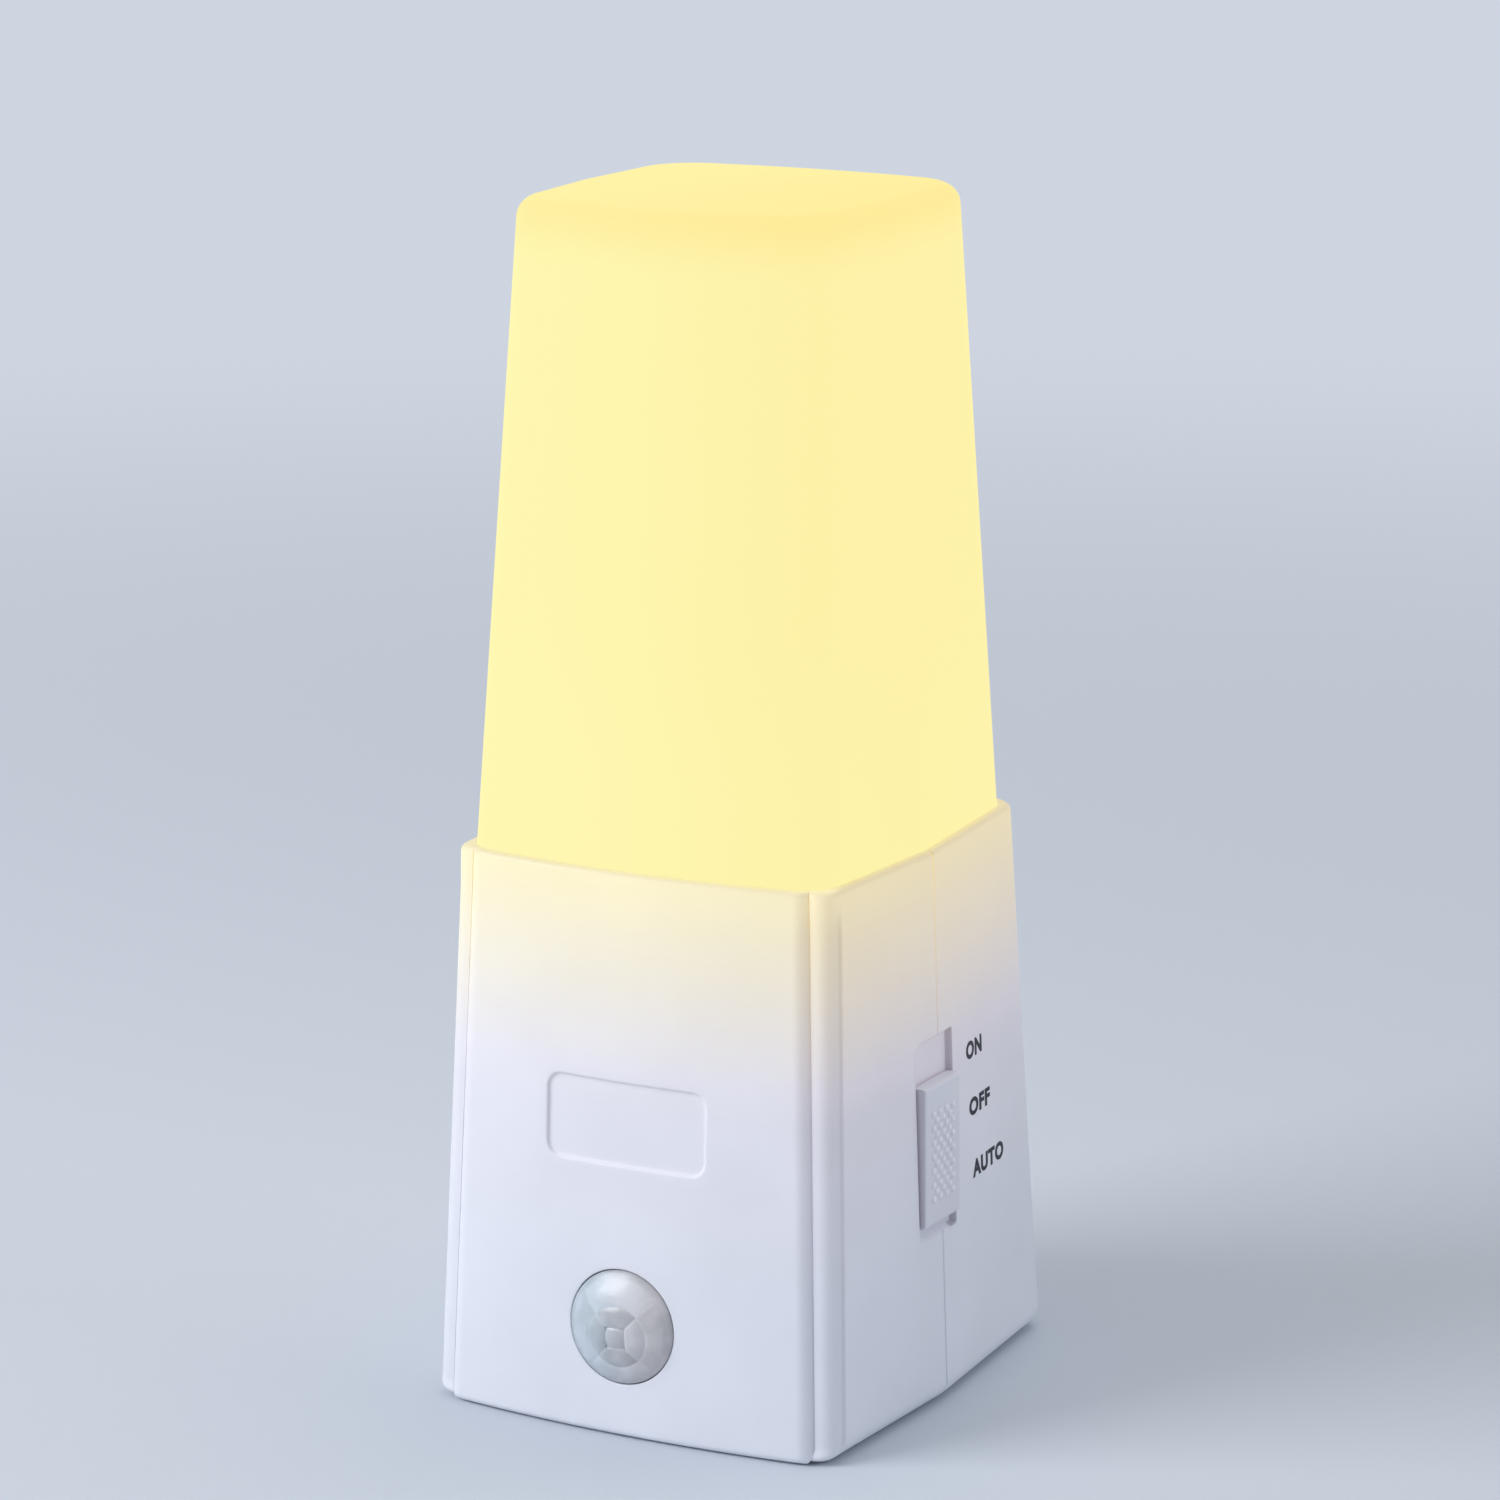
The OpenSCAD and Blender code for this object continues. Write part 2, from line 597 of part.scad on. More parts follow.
can_caps = [[-7, 6.3, 8], [2, 5, 7]];
can_caps_in = 13;
can_caps_z = board_top - can_caps_in;
module capacitors() color([0.15, 0.2, 0.45]) at_front(lens_z) for (c = can_caps)
    rod_y(c[0], can_caps_z, board_d + pcb_t, board_d + pcb_t + c[2], c[1]);

// Three-way slide switch on its own board, and the knob that drives it
lever_rest = -knob_travel / 2;
lever_gap = 0.3;
tray_y = 12;
switch_screw_l = 6;
module switch_board() color(green) at_side(slot_z) difference() {
    half_z = switch_post[1] + switch_post_d / 2 + bite;
    block([-tray_in - pcb_t, -tray_y / 2, -half_z], [-tray_in, tray_y / 2, half_z]);
    for (z = [-1, 1])
        rod_x(switch_post[0], z * switch_post[1], -tray_in - pcb_t - cut, -tray_in + cut, bore_d);
}
module switch_screws() color(steel) at_side(slot_z) for (z = [-1, 1])
    translate([-tray_in - pcb_t, switch_post[0], z * switch_post[1]]) rotate([0, -90, 0]) screw(switch_screw_l);
module switch_body() color(steel) at_side(slot_z) difference() {
    half_y = lever_y / 2 + lever_gap;
    half_z = lever_z / 2 + lever_gap;
    block([-tray_in, -switch_y / 2, -switch_z / 2], [-switch_in, switch_y / 2, switch_z / 2]);
    block([-tray_in + cut, -half_y, lever_rest - half_z], [-switch_in + cut, half_y, -lever_rest + half_z]);
}
lever_end = slot_d + 0.6;
lever_fit = 0.05;
module switch_lever() color(black) at_side(slot_z) translate([0, 0, lever_rest])
    block([-tray_in + cut + lever_gap, -lever_y / 2, -lever_z / 2], [-lever_end, lever_y / 2, lever_z / 2]);
knob_edge_r = 0.8;
knob_lift = 0.25;
module switch_knob() color(white) at_side(slot_z) translate([0, 0, lever_rest]) difference() {
    half_y = slot_w / 2 - knob_gap;
    flat_y = half_y - knob_edge_r;
    union() {
        translate([0, -slot_shift, 0]) intersection() {
            block([-slot_d + knob_lift, -half_y, -knob_l / 2], [knob_out, half_y, knob_l / 2]);
            // Long rounds along the knob's two outer edges
            union() {
                block([-slot_d, -half_y, -knob_l], [knob_out - knob_edge_r, half_y, knob_l]);
                block([-slot_d, -flat_y, -knob_l], [knob_out, flat_y, knob_l]);
                for (s = [-1, 1]) rod_z(knob_out - knob_edge_r, s * flat_y, -knob_l, knob_l, 2 * knob_edge_r);
            }
        }
        block([-switch_in + stem_gap, -stem_y / 2, -stem_z / 2], [-slot_d + bite, stem_y / 2, stem_z / 2]);
    }
    block([-switch_in, -lever_y / 2 - lever_fit, -lever_z / 2 - lever_fit],
        [-lever_end + lever_fit, lever_y / 2 + lever_fit, lever_z / 2 + lever_fit]);
}

// White plate under the diffuser, and the lamp board on it
led_w = 34;
led_screw_in = 4;
led_screw_x = led_w / 2 - led_screw_in;
led_in = [8, 11];
led_at = [led_w / 2 - led_in[0], led_w / 2 - led_in[1]];
wire_hole_d = 8;
wire_hole = [0, wire_hole_d - led_w / 2];
deck_screw_l = 7;
function deck_plan() =
    let(inset = rim_wall + flush_gap)
    let(front = base_plan(1, ledge_z, inset, inset, dif_corner_r, seam_gap / 2))
    let(rear = base_plan(-1, ledge_z, inset, inset, dif_corner_r, seam_gap / 2))
    concat(front, [for (i = [1:len(rear) - 2]) rear[i]]);
module light_deck() color(white) difference() {
    translate([0, 0, ledge_z]) linear_extrude(deck_t) polygon(deck_plan());
    for (p = deck_posts, s = [-1, 1]) rod_z(s * p[0], p[1], ledge_z - cut, deck_top + cut, bore_d);
    for (s = [-1, 1]) rod_z(s * led_screw_x, 0, ledge_z - cut, deck_top + cut, bore_d);
    rod_z(wire_hole[0], wire_hole[1], ledge_z - cut, deck_top + cut, wire_hole_d);
    for (h = hooks) {
        near = hook_x - hook_catch - hook_gap;
        far = hook_x + hook_t + hook_gap;
        half = hook_w / 2 + hook_gap;
        block([min(h[0] * near, h[0] * far), h[1] - half, ledge_z - cut],
            [max(h[0] * near, h[0] * far), h[1] + half, deck_top + cut]);
    }
}
module deck_screws() color(steel) for (p = deck_posts, s = [-1, 1])
    translate([s * p[0], p[1], deck_top]) screw(deck_screw_l);
module led_board() color([0.92, 0.93, 0.94]) difference() {
    block([-led_w / 2, -led_w / 2, deck_top], [led_w / 2, led_w / 2, deck_top + pcb_t]);
    for (s = [-1, 1]) rod_z(s * led_screw_x, 0, deck_top - cut, deck_top + pcb_t + cut, bore_d);
}
module led_screws() color(steel) for (s = [-1, 1])
    translate([s * led_screw_x, 0, deck_top + pcb_t]) screw(deck_t + pcb_t + led_screw_end);
led_screw_end = 2;
led_d = 5;
led_h = 5.5;
led_collar = [5.8, 1];
module leds() color([1, 0.9, 0.6]) for (x = [-1, 1], y = [-1, 1])
    translate([x * led_at[0], y * led_at[1], deck_top + pcb_t]) {
        cylinder(h = led_collar[1], d = led_collar[0]);
        cylinder(h = led_h, d = led_d);
        intersection() {
            translate([0, 0, led_h]) sphere(d = led_d);
            translate([0, 0, led_h - bite]) cylinder(h = led_d, d = led_d);
        }
    }

// Rear door that swings out and down on two short pins
latch = [8, 1.2, 2.3];
grip_d = 1.2;
grip_w = 12;
grip_pitch = 2;
module battery_door() color(white) at_rear(bay_z) difference() {
    union() {
        block([-door_half_x, -door_t, door_low], [door_half_x, 0, door_top]);
        for (x = knuckles_x) {
            rod_x(hinge_y, hinge_z, x - knuckle_w / 2, x + knuckle_w / 2, knuckle_d);
            block([x - knuckle_w / 2, -door_t, hinge_z], [x + knuckle_w / 2, 0, door_low + bite]);
        }
        block([-latch[0] / 2, -door_t - latch[1], bay_half_z - bay_gap - latch[2]],
            [latch[0] / 2, -door_t + bite, bay_half_z - bay_gap]);
        for (i = [2:5]) rod_x(-grip_d / 4, door_top - grip_pitch * i, -grip_w / 2, grip_w / 2, grip_d);
    }
    for (x = knuckles_x)
        rod_x(hinge_y, hinge_z, x - knuckle_w / 2 - cut, x + knuckle_w / 2 + cut, pin_d + 2 * pin_play);
}
module hinge_pins() color(steel) at_rear(bay_z) for (x = knuckles_x)
    rod_x(hinge_y, hinge_z, x - pin_half, x + pin_half, pin_d);

// Three cells side by side, the middle one upside down, wired one after another
cell_rest = [for (i = [-1, 0, 1]) [i * cell_pitch, i == 0 ? -1 : 1]];
nub_h = 1;
nub_d = 5.5;
plate_half = 4.5;
module battery_cells() color([0.2, 0.22, 0.25]) at_rear(bay_z) for (c = cell_rest)
    translate([c[0], cell_y, 0]) rotate([0, c[1] > 0 ? 0 : 180, 0])
        translate([0, 0, bay_half_z - contact_t - cell_l]) {
            cylinder(h = cell_l - nub_h, d = cell_d);
            cylinder(h = cell_l, d = nub_d);
        }
module contact_plates() color(steel) at_rear(bay_z) {
    half = plate_half;
    low = bay_half_z - contact_t;
    block([-cell_pitch - half, cell_y - half, low], [half, cell_y + half, bay_half_z]);
    block([-half, cell_y - half, -bay_half_z], [cell_pitch + half, cell_y + half, -low]);
    for (s = [-1, 1]) {
        z = s > 0 ? [low, bay_half_z] : [-bay_half_z, -low];
        block([s * lead_x - half, cell_y - half, z[0]], [s * lead_x + half, cell_y + half, z[1]]);
        block([s * lead_x - tab_w / 2, -bay_back - bay_wall - tab_out, z[0]],
            [s * lead_x + tab_w / 2, cell_y, z[1]]);
    }
}

// A round wire swept through points, square to its path
function unit(v) = v / norm(v);
function tangent(path, i) = unit(path[min(i + 1, len(path) - 1)] - path[max(i - 1, 0)]);
function wire_ring(c, dir, side, r, n) =
    let(u = unit(cross(dir, side)), v = cross(u, dir))
    [for (k = [0:n - 1]) c + r * (cos(360 * k / n) * u - sin(360 * k / n) * v)];
module wire(path, d, n, side) {
    loft([for (i = [0:len(path) - 1]) wire_ring(path[i], tangent(path, i), side, d / 2, n)]);
}
function curve(a, b, c, d, n) = [for (i = [0:n]) let(t = i / n, s = 1 - t)
    s * s * s * a + 3 * s * s * t * b + 3 * s * t * t * c + t * t * t * d];

// Conical contact springs, one coil each, from the end plate to the cell's flat end
spring_wire = 0.7;
spring_turns = 3.5;
spring_rings = 8;
spring_r = [5, 3];
function spring_path() = [for (i = [0:spring_turns * spring_rings])
    let(t = i / (spring_turns * spring_rings))
    let(a = 360 * spring_turns * t, r = blend(spring_r[0], spring_r[1], t))
    [r * cos(a), r * sin(a), blend(spring_wire / 2 + 0.05, spring_l - spring_wire / 2 - 0.05, t)]];
spring_steps = spring_path();
spring_space = min([for (i = [0:len(spring_steps) - 1], j = [0:len(spring_steps) - 1])
    if (j - i >= spring_rings / 2) norm(spring_steps[j] - spring_steps[i]) - spring_wire]);
echo(least_gap_between_spring_turns = spring_space);
module contact_springs() color(steel) at_rear(bay_z) for (c = cell_rest)
    translate([c[0], cell_y, 0]) rotate([0, c[1] > 0 ? 0 : 180, 0])
        translate([0, 0, -bay_half_z + contact_t]) wire(spring_steps, spring_wire, 6, [0, 0, 1]);

module shell_screws() color(steel) for (s = [-1, 1])
    translate([s * close_at[0], close_at[1], under_z + screw_head_h]) rotate([180, 0, 0]) screw(shell_screw_l);
shell_screw_l = 6;
feet = [[-21, -21], [21, -21], [-19, 24], [19, 24]];
module rubber_feet() color(black) for (p = feet) rod_z(p[0], p[1], 0, foot_h, foot_d);

// Where wires meet the boards and the battery tabs, in the part's own frame
function from_rear(p) = [p[0], rear_dist(bay_z) + p[1] * cos(rear_lean) - p[2] * sin(rear_lean),
    bay_z + p[1] * sin(rear_lean) + p[2] * cos(rear_lean)];
function from_front(p) = [p[0], -front_dist(lens_z) + p[1] * cos(front_lean) + p[2] * sin(front_lean),
    lens_z - p[1] * sin(front_lean) + p[2] * cos(front_lean)];
function from_side(p) = [seam_half(slot_z) + p[0] * cos(side_lean) - p[2] * sin(side_lean), seam_y + p[1],
    slot_z + p[0] * sin(side_lean) + p[2] * cos(side_lean)];
wire_gap = 0.05;
wire_sides = 8;
wire_steps = 12;
lead_bend = 7;
pad_x = 10;
pad_z_in = 14;
pair_x = 2;
switch_pad_y = 1;
switch_pad_in = 3;
switch_pitch = 4;
board_back = board_d + pcb_t + wire_gap;
front_in = from_front([0, 1, 0]) - from_front([0, 0, 0]);
rear_in = from_rear([0, -1, 0]) - from_rear([0, 0, 0]);
side_in = from_side([-1, 0, 0]) - from_side([0, 0, 0]);
module battery_lead(s, pad) {
    tab_end = -bay_back - bay_wall - tab_out - wire_gap;
    start = from_rear([s * lead_x, tab_end, s * (bay_half_z - contact_t / 2)]);
    end = from_front([pad[0], board_back, pad[1]]);
    wire(curve(start, start + lead_bend * rear_in, end + lead_bend * front_in, end, wire_steps),
        wire_d, wire_sides, [1, 0, 0]);
}
module battery_lead_red() color([0.75, 0.08, 0.07]) battery_lead(1, [pad_x, board_top - pad_z_in]);
module battery_lead_black() color(black) battery_lead(-1, [-pad_x, board_low + pad_z_in]);
module led_leads() color([0.8, 0.78, 0.7]) for (s = [-1, 1]) {
    start = from_front([s * pair_x, board_back, board_top - post_in[2]]);
    end = [wire_hole[0] + s * pair_x, wire_hole[1], deck_top - wire_gap];
    wire(curve(start, start + lead_bend * front_in, end - [0, 0, 1.5 * lead_bend], end, wire_steps),
        wire_d, wire_sides, [1, 0, 0]);
}
module switch_leads() color([0.9, 0.75, 0.1]) for (i = [-1, 0, 1]) {
    start = from_side([-tray_in - pcb_t - wire_gap, -switch_pad_y, switch_pitch * i]);
    end = from_front([board_w / 2 - switch_pad_in, board_back, board_mid + switch_pitch * (i + 0.75)]);
    wire(curve(start, start + lead_bend * side_in, end + lead_bend * front_in, end, wire_steps),
        wire_d, wire_sides, [0, 0, 1]);
}

front_shell();
rear_shell();
diffuser();
pir_lens();
lens_retainer();
main_board();
pir_sensor();
light_sensor();
control_chip();
capacitors();
board_screws();
switch_board();
switch_body();
switch_lever();
switch_knob();
switch_screws();
light_deck();
deck_screws();
led_board();
leds();
led_screws();
battery_door();
hinge_pins();
battery_cells();
contact_springs();
contact_plates();
shell_screws();
rubber_feet();
battery_lead_red();
battery_lead_black();
led_leads();
switch_leads();
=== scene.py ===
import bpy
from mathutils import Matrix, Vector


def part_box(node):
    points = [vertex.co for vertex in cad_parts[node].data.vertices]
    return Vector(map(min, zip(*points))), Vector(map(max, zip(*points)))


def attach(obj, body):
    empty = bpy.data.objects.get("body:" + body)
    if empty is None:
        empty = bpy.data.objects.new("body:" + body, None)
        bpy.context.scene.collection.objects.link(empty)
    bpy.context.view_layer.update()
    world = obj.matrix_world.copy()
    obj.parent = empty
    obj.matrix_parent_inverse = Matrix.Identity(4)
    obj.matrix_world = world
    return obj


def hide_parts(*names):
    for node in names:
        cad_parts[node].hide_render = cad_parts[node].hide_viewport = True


bl_info = {
    "name": "Motion night light",
    "version": (1, 0, 0),
    "blender": (4, 5, 0),
    "location": "3D View > Sidebar > Night light",
    "description": "Dresses a battery night light with a motion sensor on its packed frame",
    "category": "Object",
}

import math
from types import SimpleNamespace

import bmesh
import bpy
import numpy as np
from bpy.props import FloatProperty, FloatVectorProperty, PointerProperty
from mathutils import Matrix, Vector

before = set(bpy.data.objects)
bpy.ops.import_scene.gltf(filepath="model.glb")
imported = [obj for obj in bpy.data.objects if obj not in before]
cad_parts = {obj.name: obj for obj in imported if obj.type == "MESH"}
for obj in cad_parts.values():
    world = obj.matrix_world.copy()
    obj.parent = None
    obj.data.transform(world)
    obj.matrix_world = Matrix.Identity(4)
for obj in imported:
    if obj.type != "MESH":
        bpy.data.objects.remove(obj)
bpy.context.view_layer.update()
MM = 0.001


# Properties

def length(name, description, mm):
    """A length property whose default is given in millimetres."""
    return FloatProperty(name=name, description=description, default=mm * MM, unit="LENGTH", precision=5)


def lean(name, description, degrees):
    """An angle property whose default is given in degrees."""
    return FloatProperty(name=name, description=description, default=math.radians(degrees), unit="ROTATION")


def number(name, description, value):
    """A plain number property."""
    return FloatProperty(name=name, description=description, default=value, precision=4)


def colour(name, description, red, green, blue):
    """A colour property whose default is given in display values from 0 to 255, stored as linear light."""
    share = np.array([red, green, blue]) / 255.0
    linear = np.where(share <= 0.04045, share / 12.92, ((share + 0.055) / 1.055) ** 2.4)
    return FloatVectorProperty(name=name, description=description, default=tuple(linear), subtype="COLOR",
                               size=3, min=0.0, max=1.0)


class NightLightBase(bpy.types.PropertyGroup):
    """Sizes of the two halves of the base"""
    base_h: length("Height", "Height of the rim above the floor", 75)
    rim_w: length("Rim width", "Width across the seam at the rim", 58)
    rim_front: length("Rim to front", "From the middle to the front at the rim", 29.6)
    rim_rear: length("Rim to rear", "From the middle to the rear at the rim", 29.9)
    side_lean: lean("Side lean", "Lean of the side walls", 1.9)
    front_lean: lean("Front lean", "Lean of the front face", 2.6)
    rear_lean: lean("Rear lean", "Lean of the rear face", 3.9)
    front_draw: length("Front draw", "How much narrower each side is at the front corners", 1.3)
    rear_draw: length("Rear draw", "How much narrower each side is at the rear corners", 2.2)
    seam_y: length("Seam", "Where the seam lies, front to back", -0.6)
    seam_gap: length("Seam gap", "Gap between the two halves", 0.2)
    seam_soft: length("Seam edge", "Softened edge along the seam", 0.14)
    wall: length("Wall", "Thickness of the shell", 2)
    rim_wall: length("Rim wall", "Thickness of the shell at the rim", 1.1)
    rim_round: length("Rim round", "Round on the rim's outer edge", 0.8)
    foot_round: length("Foot round", "Round along the bottom edge", 2.4)
    rear_corner_r: length("Rear corner", "Radius of the rear corners", 4.5)
    under_z: length("Underside", "Height of the underside above the floor", 0.5)
    ledge_z: length("Ledge", "Height of the ledge that carries the light deck", 68)


class NightLightPanel(bpy.types.PropertyGroup):
    """Sizes of the raised front panel"""
    panel_step: length("Step", "How far the panel stands proud of the corner strips", 1)
    panel_inset: length("Corner strip", "Width of the corner strip beside the panel", 2.9)
    strip_sink: length("Strip sink", "How far the corner strip lies below the side wall", 0.12)
    strip_groove: length("Strip groove", "Depth of the fine groove beside the corner strip", 0.22)
    panel_edge: length("Edge roll", "Width of the panel's rolled upright edge", 2.1)
    front_bow: length("Bow", "How far the front bows out in the middle", 1.8)
    panel_corner_r: length("Corner", "Round on the panel's lower corners", 1.2)
    panel_round: length("Lower round", "Round along the panel's lower edge", 1.0)
    panel_z: length("Lower edge", "Height of the panel's lower edge above the floor", 0.2)
    recess_w: length("Recess width", "Width of the bare recess", 23.4)
    recess_h: length("Recess height", "Height of the bare recess", 11.1)
    recess_z: length("Recess place", "Height of the recess's middle above the floor", 42)
    recess_d: length("Recess depth", "Depth of the recess", 0.45)
    recess_r: length("Recess corner", "Corner radius of the recess", 2)


class NightLightSwitch(bpy.types.PropertyGroup):
    """Sizes of the slot, the knob and the words beside it"""
    slot_z: length("Slot place", "Height of the slot's middle above the floor", 36.9)
    slot_w: length("Slot width", "Width of the slot", 10.6)
    slot_shift: length("Slot shift", "How far the middle of the slot lies in front of the seam", 0.8)
    slot_d: length("Slot depth", "Depth of the slot", 1.3)
    slot_half: length("Half slot", "Half of the slot's height", 13.4)
    knob_l: length("Knob length", "Length of the knob", 19)
    knob_travel: length("Travel", "Travel of the knob", 4)
    knob_out: length("Knob height", "How far the knob stands out of the side", 1)
    knob_fall: length("Knob fall", "How much less the knob stands out at its lower end", 0.5)
    knob_gap: length("Knob gap", "Gap round the knob", 0.4)
    knob_edge: length("Knob round", "Round on the knob's long edges", 0.35)
    bump_r: length("Bump radius", "Radius of a grip bump", 0.46)
    bump_h: length("Bump height", "Height of a grip bump", 0.36)
    letter_h: length("Letter height", "Height of the capitals beside the slot", 2.45)


class NightLightSensor(bpy.types.PropertyGroup):
    """Sizes of the sensor lens"""
    lens_d: length("Diameter", "Diameter of the lens", 15.2)
    lens_rise: length("Rise", "How far the lens domes out", 2.5)
    lens_z: length("Place", "Height of the lens's middle above the floor", 15)
    lens_t: length("Thickness", "Thickness of the lens", 0.8)
    lens_gap: length("Gap", "Gap round the lens", 0.1)
    facet_bulge: length("Facet bulge", "How far each lens cell bulges", 0.26)
    facet_groove: length("Facet groove", "Depth of the groove between lens cells", 0.06)


class NightLightDiffuser(bpy.types.PropertyGroup):
    """Sizes of the diffuser"""
    dif_h: length("Height", "Height of the diffuser above the rim", 84.3)
    dif_top_w: length("Top width", "Width across the top", 48.5)
    dif_top_front: length("Top to front", "From the middle to the front of the top", 24.4)
    dif_top_rear: length("Top to rear", "From the middle to the rear of the top", 24.4)
    dif_corner_r: length("Corner", "Corner radius seen from above, at the rim", 5)
    dif_top_r: length("Top corner", "Corner radius seen from above, at the top", 9.1)
    dif_top_draw: length("Top draw", "How much narrower each side is at the rear corners of the top", 0.5)
    dif_top_bow: length("Top bow", "How far the rear of the top bows out in the middle", 1)
    dif_wall: length("Wall", "Thickness of the wall", 1.8)
    dif_round: length("Top round", "Round along the top edge", 2.6)
    dif_crown: length("Crown", "Rise of the top in the middle", 0.5)
    dif_gap: length("Gap", "Gap between the diffuser and the rim", 0.1)
    deck_top: length("Deck", "Height of the light deck's top", 69.5)


class NightLightFinish(bpy.types.PropertyGroup):
    """Colours and strengths of the finishes"""
    shell: colour("Shell", "Moulded white of the base", 235, 238, 246)
    knob: colour("Knob", "Moulded white of the knob", 246, 247, 255)
    glow: colour("Glow", "Lit colour of the diffuser", 255, 247, 176)
    glow_edge: colour("Glow edge", "Lit colour of the diffuser near the rim", 255, 248, 178)
    glow_top: colour("Glow top", "Lit colour of the diffuser's top", 255, 240, 160)
    # The next three are painted light on the base: a glow through the rim and the wall, standing in for lamp
    # light shining through the plastic, and a painted warm cast of that light near the rim.
    rim_glow: colour("Rim glow", "Light that shines through the rim", 255, 203, 148)
    wall_glow: colour("Wall glow", "Light that still shines through the wall half way down", 255, 157, 142)
    rim_warm_light: colour("Rim tint", "Warm cast of the plastic next to the light", 255, 253, 205)
    lens: colour("Lens", "Milky plastic of the sensor lens", 206, 207, 211)
    ink: colour("Ink", "Ink of the words", 26, 28, 40)
    glow_level: number("Glow level", "Strength of the lit diffuser", 0.975)
    rim_glow_level: number("Rim glow level", "Strength of the light through the rim", 0.275)
    wall_glow_level: number("Wall glow level", "Strength of the light half way down", 0.045)


class NightLightStage(bpy.types.PropertyGroup):
    """Camera and surroundings"""
    azimuth: lean("Azimuth", "Direction of the camera round the light", 28.8)
    elevation: lean("Elevation", "Height of the camera above the horizon", 13.37)
    roll: lean("Roll", "Turn of the camera about its own axis", -0.22)
    distance: length("Distance", "From the camera to the point it looks at", 726.9)
    aim_z: length("Aim height", "Height of the point the camera looks at", 85.1)
    aim_side: length("Aim side", "How far the aim lies to the camera's right", 1.42)
    focal: number("Focal length", "Focal length on a 36 mm sensor, in millimetres", 132.5)
    floor: colour("Floor", "Pale floor", 205, 212, 222)
    backdrop: colour("Backdrop", "Pale backdrop", 206, 213, 224)


GROUPS = {
    "night_light_base": NightLightBase,
    "night_light_panel": NightLightPanel,
    "night_light_switch": NightLightSwitch,
    "night_light_sensor": NightLightSensor,
    "night_light_diffuser": NightLightDiffuser,
}


def sizes(context):
    """Every size in millimetres and every lean in radians, by name."""
    found = {}
    for key, group in GROUPS.items():
        values = getattr(context.scene, key)
        for name in group.__annotations__:
            found[name] = getattr(values, name) * (1 if name.endswith("lean") else 1 / MM)
    return SimpleNamespace(**found)


# Mesh helpers

def quads(rows, columns, first=0, wrap=False):
    """Corner numbers of the cells of a grid of points numbered row by row from first."""
    j, i = np.meshgrid(np.arange(rows - 1), np.arange(columns if wrap else columns - 1), indexing="ij")
    k = (i + 1) % columns
    cells = np.stack([j * columns + i, j * columns + k, (j + 1) * columns + k, (j + 1) * columns + i], -1)
    return cells.reshape(-1, 4) + first


def make_piece(name, blocks, body, material, smooth=32.0, replaces=(), tone=None):
    """One closed piece from blocks of (points in millimetres, cells), welded, faces turned outwards.
    Tone, a value for each point of painted light and shade, becomes the attribute of that name for the
    material."""
    points = np.concatenate([np.asarray(p, float).reshape(-1, 3) for p, c in blocks]) * MM
    starts = np.cumsum([0] + [np.asarray(p).reshape(-1, 3).shape[0] for p, c in blocks[:-1]])
    cells = np.concatenate([np.asarray(c).reshape(-1, 4) + s for (p, c), s in zip(blocks, starts)])
    mesh = bpy.data.meshes.new(name)
    mesh.vertices.add(len(points))
    mesh.vertices.foreach_set("co", points.ravel())
    mesh.loops.add(cells.size)
    mesh.loops.foreach_set("vertex_index", cells.ravel().astype(np.int32))
    mesh.polygons.add(len(cells))
    mesh.polygons.foreach_set("loop_start", np.arange(0, cells.size, 4, dtype=np.int32))
    mesh.update(calc_edges=True)
    if tone is not None:
        values = mesh.attributes.new("tone", "FLOAT", "POINT").data
        values.foreach_set("value", np.ravel(tone).astype(np.float32))
    work = bmesh.new()
    work.from_mesh(mesh)
    bmesh.ops.remove_doubles(work, verts=work.verts, dist=2e-6)
    bmesh.ops.dissolve_degenerate(work, edges=work.edges, dist=1e-7)
    bmesh.ops.recalc_face_normals(work, faces=work.faces)
    work.to_mesh(mesh)
    work.free()
    mesh.validate()
    mesh.polygons.foreach_set("use_smooth", np.ones(len(mesh.polygons), bool))
    mesh.set_sharp_from_angle(angle=math.radians(smooth))
    mesh.update()
    piece = bpy.data.objects.new(name, mesh)
    bpy.context.scene.collection.objects.link(piece)
    piece.data.materials.append(material)
    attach(piece, body)
    if replaces:
        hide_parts(*replaces)
    return piece


def thick_blocks(outer, inner, solid, open_outer, open_inner):
    """A wall between an outer and an inner grid of points.
    Cells of solid are walled, cells of open_outer or open_inner are left for a patch, and every border of
    solid is closed by a strip from the outer to the inner grid."""
    rows, columns = solid.shape[0] + 1, solid.shape[1] + 1
    count = rows * columns
    cells = quads(rows, columns)
    keep_outer = (solid & ~open_outer).ravel()
    keep_inner = (solid & ~open_inner).ravel()
    index = np.arange(count).reshape(rows, columns)
    padded = np.pad(solid, 1)
    across = padded[1:, 1:-1] != padded[:-1, 1:-1]
    along = padded[1:-1, 1:] != padded[1:-1, :-1]
    a = np.concatenate([index[:, :-1][across], index[:-1, :][along]])
    b = np.concatenate([index[:, 1:][across], index[1:, :][along]])
    strips = np.stack([a, b, b + count, a + count], -1)
    points = np.concatenate([outer.reshape(-1, 3), inner.reshape(-1, 3)])
    return [(points, np.concatenate([cells[keep_outer], cells[keep_inner][:, ::-1] + count, strips]))]


def block_border(grid, rows, columns):
    """The points round the border of a block of a grid, in order, without the first one repeated."""
    (j0, j1), (i0, i1) = rows, columns
    return np.concatenate([grid[j0, i0:i1], grid[j0:j1, i1], grid[j1, i1:i0:-1], grid[j1:j0:-1, i0]])


def box_block(low, high):
    """A plain box as a block of points and cells."""
    corners = np.stack(np.meshgrid(*zip(low, high), indexing="ij"), -1).reshape(-1, 3)
    sides = [[0, 1, 3, 2], [4, 6, 7, 5], [0, 4, 5, 1], [2, 3, 7, 6], [0, 2, 6, 4], [1, 5, 7, 3]]
    return corners, np.array(sides)


